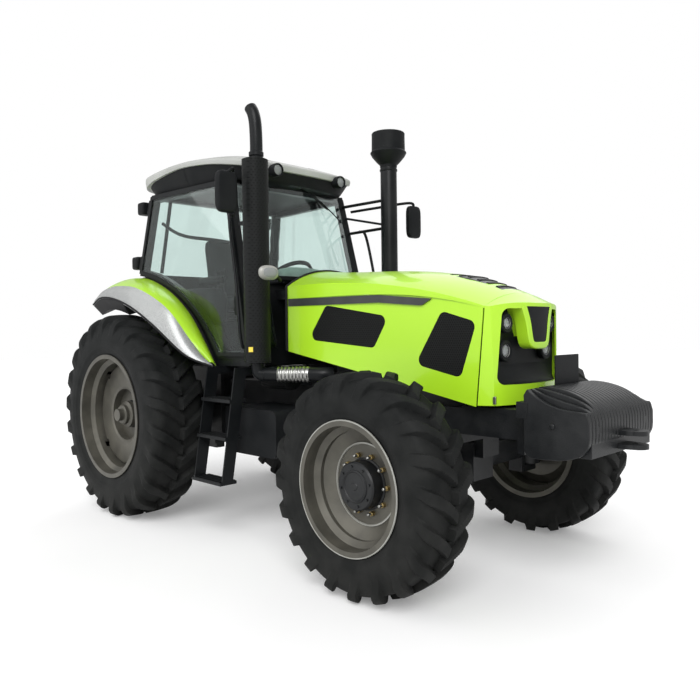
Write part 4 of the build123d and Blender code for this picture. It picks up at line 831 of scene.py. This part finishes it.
roof_lamp_z = 2.771
shells, arms, lamp_glass, silver_shells = [], [], [], []
for side in (-1, 1):
    place = at(1.21, side * 0.338, roof_lamp_z)
    shells.append(turned([(0, 0.05), (0.062, 0.052), (0.075, 0.049), (0.073, 0.043), (0.05, 0.041),
                          (0, 0.041)], place, (1, 0, 0), 40))
    lamp_glass.append(turned([(0.0, 0.040), (0.062, 0.041), (0.068, 0.030), (0.071, 0.012)], place,
                             (1, 0, 0), 40))
    turn_place = at(1.735, side * 0.81, 1.92)
    silver_shells.append(soft_box(turn_place, (0.030, 0.080, 0.050), 0.8))
    lamp_glass.append(soft_box(turn_place + (0.021, 0, 0), (0.012, 0.060, 0.034), 0.8))
    arm = smooth_path(from_axle([(1.30, 0.50, 1.89), (1.47, 0.50, 1.89), (1.62, 0.64, 1.905),
                                 (1.73, 0.74, 1.92)], side), 24)
    arms.append(tube(arm, 0.014, 12))
    for x, z, lamp_up in ((-0.17, 2.616, 0.056), (-0.29, 2.145, 0.058)):
        y, lamp_half = 0.655, (0.05, 0.072, lamp_up)
        shells.append(soft_box(at(x, side * y, z), lamp_half, 0.3))
        lamp_glass.append(soft_box(at(x - 0.046, side * y, z), (0.006, 0.062, 0.046), 0.3))
        post = [(x + 0.03, y, z), (x + 0.10, y + 0.01, z + 0.005), (x + 0.17, y + 0.025, z + 0.01)]
        arms.append(tube(smooth_path(from_axle(post, side), 8), 0.013, 10))
lamps = piece("cab_lamp_shells", shells + arms, black_plastic)
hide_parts("cab_lamps")
piece("cab_lamp_glass", lamp_glass, lens)
piece("turn_lamp_shells", silver_shells, silver_paint)

heads, faces, stays = [], [], []
for side, head_x, head_y in ((-1, 1.50, 0.96), (1, 1.47, 1.09)):
    centre = at(head_x - 0.03, side * head_y, 2.49)
    heads.append(soft_box(centre, (0.030, 0.082, 0.144), 0.4))
    faces.append(soft_box(centre - (0.0265, 0, 0), (0.0034, 0.068, 0.125), 0.35))
    stay = [(1.07, 0.66, 2.58), (1.25, 0.78, 2.605), (head_x - 0.03, head_y - 0.06, 2.655),
            (head_x - 0.02, head_y, 2.62)]
    stays.append(tube(smooth_path(from_axle(stay, side), 30), 0.012, 12))
mirror_set = piece("mirror_heads", heads + stays, black_plastic)
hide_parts("mirrors")
piece("mirror_faces", faces, mirror_glass)
print("lamp glasses", len(lamp_glass), "mirrors", len(heads))

# %% [markdown]
# ## Exhaust and its hoses
# A heat shield wraps the exhaust stack. It is punched with holes on the side that
# faces the driver's step, so the curved sheet is its own piece with the punched
# finish, and a ribbed flexible pipe joins the engine below.

# %% Heat shield, clamps and flexible pipe


def shield_sheet(centre, radius, low, high, start, stop, rows=24, wall=0.004):
    """Part of a cylinder's wall between two angles, with its inside a wall thinner."""
    angle = np.linspace(start, stop, rows)
    outer = np.stack([np.cos(angle), np.sin(angle)], axis=1) * radius
    inner = outer[::-1] * (radius - wall) / radius
    loop = np.vstack([outer, inner])
    base = np.column_stack([loop + np.asarray(centre)[:2], np.full(len(loop), low)])
    return prism(base, (0, 0, high - low))


# Both stacks stand upright beside the cab's front pillars.
stack = (rear_x + 1.48, -0.716)
sheet = shield_sheet(stack, 0.0945, 1.30, 2.745, radians(-150), radians(60))
piece("exhaust_shield", [sheet], shield_holes, crease=50)
pipe = smooth_path(from_axle([(1.495, -0.716, 2.70), (1.500, -0.716, 2.85), (1.492, -0.716, 3.00),
                              (1.470, -0.716, 3.08), (1.440, -0.716, 3.125)]), 40)
can = turned([(0, 0.060), (0.005, 0.090), (1.44, 0.0905), (1.462, 0.080), (1.464, 0.050)],
             (*stack, 1.29), (0, 0, 1), 64)
low_run = smooth_path([(*stack, 1.30), at(1.485, -0.712, 1.225), at(1.53, -0.685, 1.21)], 16)
joints = [slab(at(1.30, -0.736, 1.272), at(1.42, -0.70, 1.308)),
          slab(at(1.30, -0.736, 2.30), at(1.42, -0.70, 2.325))]
stack_set = piece("exhaust_stack", [can, tube(pipe, 0.045, 28), tube(low_run, 0.048, 20)] + joints,
                  black_paint)
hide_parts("exhaust")
piece("exhaust_collar", [turned([(0, 0.047), (0.006, 0.053), (0.03, 0.053), (0.036, 0.047)],
                                at(1.497, -0.716, 2.765), (0, 0, 1), 40)], black_paint)

label = shield_sheet(stack, 0.0955, 1.375, 1.410, radians(-80), radians(-58), rows=8, wall=0.0006)
piece("blank_label", [label], yellow_film)

route = smooth_path(from_axle([(1.50, -0.700, 1.215), (1.60, -0.63, 1.21), (1.72, -0.53, 1.21),
                               (1.86, -0.445, 1.21), (1.90, -0.38, 1.21)]), 120)
ripple = 0.0545 + 0.0035 * np.cos(np.arange(120) * 2 * pi / 5)
piece("exhaust_flex", [tube(route[30:74], ripple[30:74], 24)], steel, crease=80)
piece("exhaust_link", [tube(route[:32], 0.05, 20), tube(route[72:], 0.05, 20)], black_paint)
cooler = turned([(0, 0.05), (0.01, 0.085), (0.30, 0.085), (0.31, 0.05)], at(1.27, -0.47, 1.17),
                (1, 0, 0), 40)
piece("side_filter", [cooler], shield_holes)

inlet = (rear_x + 1.48, 0.716)
cleaner = [(0.0, 0.0725), (0.020, 0.074), (0.045, 0.100), (0.090, 0.138), (0.115, 0.152),
           (0.122, 0.1555), (0.130, 0.152), (0.140, 0.1435), (0.262, 0.1415), (0.285, 0.1425),
           (0.292, 0.138), (0.295, 0.125)]
piece("intake_cap", [turned(cleaner, (*inlet, 2.915), (0, 0, 1), 72)], black_plastic)
pipe = [(0.0, 0.060), (0.01, 0.0705), (1.62, 0.0705), (1.66, 0.060)]
ring_clamp = [(0.0, 0.072), (0.004, 0.076), (0.018, 0.076), (0.022, 0.072)]
elbow = smooth_path([(*inlet, 1.32), at(1.50, 0.70, 1.235), at(1.62, 0.62, 1.21),
                     at(1.80, 0.50, 1.21), at(1.90, 0.38, 1.21), at(1.90, 0.25, 1.21)], 60)
holders = [slab(at(1.28, 0.70, 1.272), at(1.45, 0.735, 1.308)),
           tube([at(1.02, 0.60, 2.62), (*inlet[:1], 0.70, 2.64)], 0.013, 10),
           tube([at(1.10, 0.62, 2.38), (*inlet[:1], 0.70, 2.40)], 0.013, 10),
           tube([at(1.05, 0.61, 2.52), (*inlet[:1], 0.70, 2.42)], 0.010, 10)]
intake = piece("intake_pipe", [turned(pipe, (*inlet, 1.29), (0, 0, 1), 48), tube(elbow, 0.058, 20),
                               turned(ring_clamp, (*inlet, 2.88), (0, 0, 1), 48)] + holders,
               black_paint)
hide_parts("air_intake")
print("stacks stand at", np.round(stack, 3), np.round(inlet, 3))

# %% [markdown]
# ## Roof
# The grey roof is a moulded shell in three slabs with dark joints between them,
# over the black band. The slabs are one height field: a rounded rectangle that
# falls at its edge, and each joint is a thin dark tube laid on it.

# %% Roof shell from rings of one plan
roof_middle, roof_half = 0.51, 0.70  # middle and half length, from the rear axle
# distance from the rear axle, height of the edge
edge_line = np.array([(-0.19, 2.842), (0.10, 2.872), (0.40, 2.887), (0.80, 2.874), (1.21, 2.822)])
# distance from the rear axle, thickness of the slab's edge
slab_line = np.array([(-0.19, 0.088), (0.05, 0.052), (0.45, 0.030), (0.85, 0.034), (1.21, 0.044)])
dense = np.linspace(0, 2 * pi, 12001)
plan = np.stack([np.sign(w(dense)) * np.abs(w(dense)) ** 0.24 for w in (np.cos, np.sin)])
run = np.append(0, np.cumsum(np.hypot(*np.diff(plan))))
even = np.linspace(0, run[-1], 241)[:-1]
plan_u, plan_v = (np.interp(even, run, row) for row in plan)


def roof_ring(share, inset=0.0):
    """One ring of the roof's plan: a superellipse that narrows to the front, less an inset."""
    u, v = plan_u, plan_v
    x = roof_middle + share * u * (roof_half - inset)
    half = np.interp(x, (-0.19, 0.6, 1.21), (0.735, 0.715, 0.625)) - inset
    bulge = 0.035 * share * (1 - v**2) * (u > 0) - 0.02 * share * (v**2) * (u > 0)
    return x + bulge, v * share * half


def edge_height(x):
    """Height of the roof's edge along the cab, arched from rear to front."""
    fine = smooth_path(edge_line, 60)
    return np.interp(x, fine[:, 0], fine[:, 1])


def roof_height(x, share):
    """The edge's height plus a crown that flattens towards the edge."""
    return edge_height(x) + 0.010 + 0.085 * (1 - share**2.6)


rings_of_roof = []
for share in np.linspace(0.02, 0.985, 30):
    x, y = roof_ring(share)
    rings_of_roof.append(np.stack([rear_x + x, y, roof_height(x, share)], axis=1))
for share, inset, part in ((1.0, 0.0, -0.1), (1.0, -0.002, 0.25), (1.0, 0.004, 0.92),
                           (0.99, 0.012, 1.0), (0.90, 0.02, 0.9)):
    x, y = roof_ring(share, inset)
    thick = np.interp(x, slab_line[:, 0], slab_line[:, 1])
    rings_of_roof.append(np.stack([rear_x + x, y, edge_height(x) - part * thick], axis=1))
roof = piece("roof_shell", [skin(np.stack(rings_of_roof), wrap_v=True, cap_u=True)], roof_grey,
             crease=50)
bands = []
for inset, height in ((0.10, "edge"), (0.016, "edge"), (0.045, "mid"), (0.070, 2.712),
                      (0.080, 2.700), (0.16, 2.700)):
    x, y = roof_ring(1.0, inset)
    low = edge_height(x) - 0.030
    levels = {"edge": low, "mid": 0.25 * low + 0.75 * 2.735}
    z = levels[height] if height in levels else np.full(len(x), height)
    bands.append(np.stack([rear_x + x, y, z], axis=1))
band = piece("roof_band_shell", [skin(np.stack(bands), wrap_v=True, cap_u=True)], black_plastic,
             crease=50)
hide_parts("cab_roof")
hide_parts("roof_band")
# %% Joints between the slabs
seam_x, seam_y = np.linspace(-0.14, 1.20, 40), 0.25
seams = []
for side in (-1, 1):
    share = np.maximum(seam_y / roof_half, np.abs(seam_x - roof_middle) / roof_half)
    line = [rear_x + seam_x, np.full(len(seam_x), side * seam_y),
            roof_height(seam_x, share) - 0.001]
    seams.append(tube(np.stack(line, axis=1), 0.005, 8))
piece("roof_seams", seams, seal_rubber)
print("roof crown", round(float(np.stack(rings_of_roof)[..., 2].max()), 3))

# %% [markdown]
# ## Cab trim
# Through the glass the inside shows: a pale dash hump, a grab bar, the trim of the
# rear pillars and the seat. Outside there are a wiper, rails and door handles. All
# of these are tubes and soft boxes placed by where the cab's own corners are.

# %% Dash, bars, wiper, handles
hump = soft_box(at(1.13, 0, 1.965), (0.085, 0.235, 0.075), 0.6)
piece("dash_hump", [hump], mint_plastic)
cowl = soft_box(at(1.20, 0.02, 1.915), (0.075, 0.30, 0.035), 0.55)
piece("dash_cowl", [cowl], black_plastic)

bars = []
for side in (-1, 1):
    rail = smooth_path(from_axle([(1.335, 0.712, 1.40), (1.345, 0.765, 1.46), (1.28, 0.755, 1.90),
                                  (1.185, 0.735, 2.35), (1.155, 0.675, 2.40)], side), 40)
    bars.append(tube(rail, 0.0125, 12))
piece("grab_rails", bars, black_paint)
inner_bar = smooth_path(from_axle([(0.03, -0.615, 2.47), (0.20, -0.60, 2.38), (0.40, -0.595, 2.32),
                                   (0.75, -0.60, 2.26), (1.02, -0.60, 2.21)]), 40)
piece("inner_grab_bar", [tube(inner_bar, 0.014, 12)], black_plastic)
posts = [tube(from_axle([(-0.10, 0.56, 2.05), (0.005, 0.52, 2.68)], side), 0.016, 10)
         for side in (-1, 1)]
piece("rear_window_posts", posts, black_paint)

arm_path = from_axle([(1.085, 0.02, 2.715), (1.125, 0.16, 2.64), (1.15, 0.30, 2.55)])
blade_path = from_axle([(1.118, 0.13, 2.68), (1.165, 0.30, 2.55), (1.195, 0.46, 2.42)])
wiper = [tube(smooth_path(arm_path, 16), 0.006, 8), tube(smooth_path(blade_path, 20), 0.005, 8),
         turned([(0, 0.012), (0.02, 0.02), (0.035, 0.016)], at(1.06, 0.02, 2.715), (1, 0, 0), 20)]
piece("windshield_wiper", wiper, black_plastic)

consoles = []
for side in (-1, 1):
    consoles.append(soft_box(at(0.36, side * 0.49, 1.73), (0.34, 0.105, 0.16), 0.4))
    consoles.append(soft_box(at(0.50, side * 0.44, 1.95), (0.16, 0.05, 0.035), 0.5))
    for k, lever_x in enumerate((0.58, 0.64, 0.70)):
        lever = from_axle([(lever_x, 0.46, 1.85), (lever_x + 0.03, 0.455, 2.02)], side)
        consoles += [tube(lever, 0.006, 8),
                     soft_box((*lever[1],), (0.013, 0.013, 0.02), 0.8, 8, 12)]
piece("cab_consoles", consoles, black_plastic)
print("console pieces", len(consoles))

# %% Door handles ride on the doors
for side, word in ((-1, "right"), (1, "left")):
    low, high = box_of(f"door_frame_{word}")
    grip_x, grip_z = high[0] - 0.155, 1.72
    y_out = side * (0.785 - 0.078 * (grip_x - rear_x + 0.15) - 0.06 * (grip_z - 1.33))
    grip = soft_box((grip_x, y_out + side * 0.014, grip_z), (0.016, 0.012, 0.075), 0.5)
    piece(f"door_handle_{word}", [grip], black_plastic, body=f"door_{word}")

# %% [markdown]
# ## Seat
# The driver's seat is foam under woven cloth. A cushion is a crowned closed form
# whose sides pull in between its corners, so the surface is a soft box whose top
# swells in the middle and whose sewn channels dip along its length. It stands on a
# bellows over a spring base.

# %% Padded seat


def cushion(centre, half, tilt, crown, channels):
    """A soft box with a swollen face: z + crown (1 - x²)(1 - y²), less narrow channels.

    The sides pull in by a small share of (1 - the other side squared), and the whole
    turns about the y axis by the tilt.
    """
    points, faces = soft_box((0, 0, 0), (1, 1, 1), 0.32, rows=40, columns=72)
    x, y, z = points.T
    x, y = x * (1 - 0.05 * (1 - y**2)), y * (1 - 0.04 * (1 - x**2))
    swell = (1 - np.clip(x**2, 0, 1)) * (1 - np.clip(y**2, 0, 1))
    z = z * half[2] + np.sign(z) * crown * swell * np.clip(np.abs(z), 0, 1)
    for channel in channels:
        z = z - 0.006 * np.exp(-(((y - channel) / 0.03) ** 2)) * (z > 0)
    x, y = x * half[0], y * half[1]
    c, s = np.cos(tilt), np.sin(tilt)
    turned_points = np.stack([x * c + z * s, y, -x * s + z * c], axis=1) + np.asarray(centre)
    return turned_points, faces


seat_x, deck = rear_x + 0.36, 1.60
bottom = piece("seat_cushion", [cushion((seat_x + 0.02, 0, deck + 0.165), (0.225, 0.243, 0.055),
                                        0.04, 0.012, (-0.42, 0.42))], seat_cloth, crease=70)
back = piece("seat_back", [cushion((seat_x - 0.222, 0, deck + 0.505), (0.265, 0.238, 0.040), 1.42,
                                   0.010, (-0.42, 0.42))], seat_cloth, crease=70)
rests = [soft_box((seat_x - 0.01, side * 0.286, deck + 0.39), (0.158, 0.0235, 0.019), 0.5)
         for side in (-1, 1)]
rest_piece = piece("seat_armrests", rests, seat_cloth)
folds = np.linspace(0, 1, 25)
bellows = [(0.11 * fold, 0.155 + 0.012 * np.cos(fold * 5 * 2 * pi)) for fold in folds]
base = piece("seat_base", [turned(bellows, (seat_x - 0.06, 0, deck), (0, 0, 1), 48),
                           slab((seat_x - 0.20, -0.23, deck + 0.10),
                                (seat_x + 0.20, 0.23, deck + 0.118))], black_plastic)
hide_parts("seat")
print("seat stands at", round(seat_x, 3), "on a deck at", deck)

# %% [markdown]
# ## Fender edges and steps
# A fender is two pressed bands, lime above and silver below, stretched between
# three rails. Thin seals follow the lime band's inner edge, each a tube on the line
# between two rails. The treads get a punched plate, because a boot needs grip.

# %% Fenders from three rails
fender_rails = {
    # from the rear axle, out, up
    "inner": [(0.93, 0.70, 1.25), (0.80, 0.70, 1.43), (0.60, 0.70, 1.655), (0.35, 0.70, 1.834),
              (0.05, 0.70, 1.963), (-0.20, 0.68, 2.000), (-0.42, 0.66, 1.955)],
    "line": [(0.94, 0.785, 1.290), (0.84, 0.87, 1.460), (0.66, 0.965, 1.710), (0.35, 1.03, 1.872),
             (0.05, 1.045, 1.912), (-0.20, 1.04, 1.895), (-0.42, 1.00, 1.835)],
    "outer": [(1.035, 0.80, 1.257), (0.87, 0.945, 1.352), (0.60, 1.05, 1.578),
              (0.33, 1.085, 1.722), (0.05, 1.09, 1.802), (-0.20, 1.085, 1.822),
              (-0.42, 1.05, 1.775)],
}
rail_lines = {}
for name, points in fender_rails.items():
    rail_lines[name] = smooth_path(points, 70) + (rear_x, 0, 0)
fender_core = at(0, 0.55, 0.838)  # on the rear axle, inside the wheel
side_flat = (1, 0.6, 1)  # the outward direction leans less to the side than to the rim


def fender_band(first, second, side, swell, columns=16, wall=0.014):
    """A closed band between two rails: straight across plus a swell, then back a wall lower.

    The swell lifts the middle by 4 t (1 - t) away from the axle, and the inside
    lies a wall's thickness nearer the axle.
    """
    t = np.linspace(0, 1, columns)[None, :, None]
    a, b = rail_lines[first][:, None], rail_lines[second][:, None]
    away = unit(((a + b) / 2 - fender_core) * side_flat)
    top = a + (b - a) * t + away * swell * 4 * t * (1 - t)
    grid = np.concatenate([top, (top - away * wall)[:, ::-1]], axis=1)
    return skin(grid * (1, side, 1), wrap_v=True, cap_u=True)


for side, word in ((-1, "right"), (1, "left")):
    green = piece(f"fender_green_{word}", [fender_band("inner", "line", side, 0.035)], lime,
                  crease=50)
    piece(f"fender_skirt_{word}", [fender_band("line", "outer", side, 0.016)], fender_silver,
          crease=50)
    if side < 0:
        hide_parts("fenders")
    a, b = rail_lines["inner"], rail_lines["line"]
    away = unit((a - fender_core) * side_flat)
    seals = [tube((a + (b - a) * share + away * 0.009) * (1, side, 1), 0.0065, 10)
             for share in (0.0, 0.055, 0.11)]
    seals.append(tube(rail_lines["outer"] * (1, side, 1), 0.008, 10))
    wall = a * (1, 0, 1) + (0, 0.62, 0) - away * 0.01
    loop = np.stack([a + away * 0.002, wall + away * 0.002, wall - away * 0.02, a - away * 0.014],
                    axis=1)
    seals.append(skin(loop * (1, side, 1), wrap_v=True, cap_u=True))
    under = np.stack([rail_lines["line"] - away * 0.016, rail_lines["outer"] - away * 0.012,
                      rail_lines["outer"] - away * 0.10 - (0, 0.06, 0), a - away * 0.14],
                     axis=1)[40:]
    seals.append(skin(under * (1, side, 1), wrap_v=True, cap_u=True))
    piece(f"fender_seals_{word}", seals, seal_rubber)
print("fender rails", sorted(rail_lines))

# %% Tread plates
plates = []
for side in (-1, 1):
    for tread_z in (0.452, 0.767, 1.032):
        y = 0.80 + 0.13 * (1.26 - (tread_z - 0.022)) / 0.83
        low, high = sorted((side * (y - 0.078), side * (y + 0.058)))
        plates.append(slab(at(1.034, low, tread_z - 0.001), at(1.368, high, tread_z + 0.004)))
piece("step_treads", plates, tread_holes)
print("tread plates", len(plates))

# %% [markdown]
# ## Rear equipment
# Behind the cab sit the hydraulic couplers with their caps and the guard over the
# power shaft. They're small turned and bent pieces, here to finish the back view.

# %% Couplers and shaft guard
couplers, caps = [], []
for y in (-0.16, -0.10, 0.10, 0.16):
    for z in (1.06, 1.13):
        place = at(-0.40, y, z)
        couplers.append(turned([(0, 0.021), (0.045, 0.021), (0.05, 0.018), (0.052, 0.012)], place,
                               (-1, 0, 0), 20))
        caps.append(turned([(0.048, 0.019), (0.064, 0.019), (0.068, 0.014)], place, (-1, 0, 0), 20))
piece("rear_couplers", couplers, steel)
piece("coupler_caps", caps, yellow_film)
arch_turn = np.linspace(radians(-20), radians(200), 25)
bend = np.stack([np.cos(arch_turn), np.sin(arch_turn)], axis=1)
guard_back, shaft_z, guard_wall = at(-0.402, 0, 0)[0], 0.66, 0.005
outer = bend * (0.16, 0.13)
inner = (bend * (0.16 - guard_wall, 0.13 - guard_wall))[::-1]
loop = np.vstack([outer, inner]) + (0, shaft_z)
guard = prism(np.column_stack([np.full(len(loop), guard_back), loop]), (-0.10, 0, 0))
piece("shaft_guard", [guard], black_paint)
print("couplers", len(couplers))

# %% [markdown]
# ## Floor, light and camera
# The tractor stands in soft studio light on a pale floor. The floor and the world
# look white to the camera and in reflections, but give the object only a plain
# level of light, so paint renders about as it is written.

# %% Floor and world
floor_half = 40.0
corner = np.array([(-1, -1, 0), (1, -1, 0), (1, 1, 0), (-1, 1, 0)]) * floor_half
floor_mesh = bpy.data.meshes.new("studio_floor")
floor_mesh.from_pydata(corner.tolist(), [], [(0, 1, 2, 3)])
floor = bpy.data.objects.new("studio_floor", floor_mesh)
scene.collection.objects.link(floor)
pale = finish("floor_pale", (0.84, 0.84, 0.84), (0.86, 0.86, 0.86), 0.95, patch=0.6, grain=40,
              bump=0.0)
pale_tree = pale.node_tree
glow = pale_tree.nodes.new("ShaderNodeLightPath")
lift = pale_tree.nodes.new("ShaderNodeMapRange")
lift.inputs["To Max"].default_value = 0.2
pale_tree.links.new(glow.outputs["Is Camera Ray"], lift.inputs["Value"])
floor_shader = pale_tree.nodes["Principled BSDF"]
floor_shader.inputs["Emission Color"].default_value = (1, 1, 1, 1)
floor_shader.inputs["Specular IOR Level"].default_value = 0.0
pale_tree.links.new(lift.outputs["Result"], floor_shader.inputs["Emission Strength"])
floor_mesh.materials.append(pale)

world = bpy.data.worlds.new("studio")
scene.world = world
world.use_nodes = True
tree = world.node_tree
sky = tree.nodes["Background"]
sky.inputs["Color"].default_value = (1, 1, 1, 1)
rays = tree.nodes.new("ShaderNodeLightPath")
seen = tree.nodes.new("ShaderNodeMath")
seen.operation = "MAXIMUM"
tree.links.new(rays.outputs["Is Camera Ray"], seen.inputs[0])
tree.links.new(rays.outputs["Is Transmission Ray"], seen.inputs[1])
level = tree.nodes.new("ShaderNodeMapRange")
level.inputs["To Min"].default_value = 0.55
level.inputs["To Max"].default_value = 1.0
tree.links.new(seen.outputs[0], level.inputs["Value"])
tree.links.new(level.outputs["Result"], sky.inputs["Strength"])
print("floor reaches", floor_half, "m each way")

# %% Lamps and camera
suns = (
    # name, turn in degrees, power, spread in degrees
    ("key", (52, 5, 38), 1.9, 35),
    ("fill", (55, -20, -10), 0.75, 60),
    ("back", (48, 0, 200), 0.55, 50),
)
for name, turn, power, spread in suns:
    light = bpy.data.lights.new(name, "SUN")
    light.energy = power
    light.angle = radians(spread)
    lamp = bpy.data.objects.new(name, light)
    lamp.rotation_euler = [radians(t) for t in turn]
    scene.collection.objects.link(lamp)

camera_data = bpy.data.cameras.new("view")
camera_data.sensor_width = 36.0
camera_data.lens = 35.87
camera_data.shift_x = -0.0101
camera_data.shift_y = -0.0055
camera = bpy.data.objects.new("view", camera_data)
scene.collection.objects.link(camera)
yaw, pitch, roll = radians(-44.55), radians(-1.26), radians(0.75)
heading = Vector((np.sin(yaw) * np.cos(pitch), np.cos(yaw) * np.cos(pitch), np.sin(pitch)))
camera.matrix_world = (
    Matrix.Translation((4.1359, -3.7902, 1.5154))
    @ Matrix.Rotation(roll, 4, heading)
    @ heading.to_track_quat("-Z", "Y").to_matrix().to_4x4()
)
scene.camera = camera
print("camera stands at", tuple(camera.matrix_world.translation))
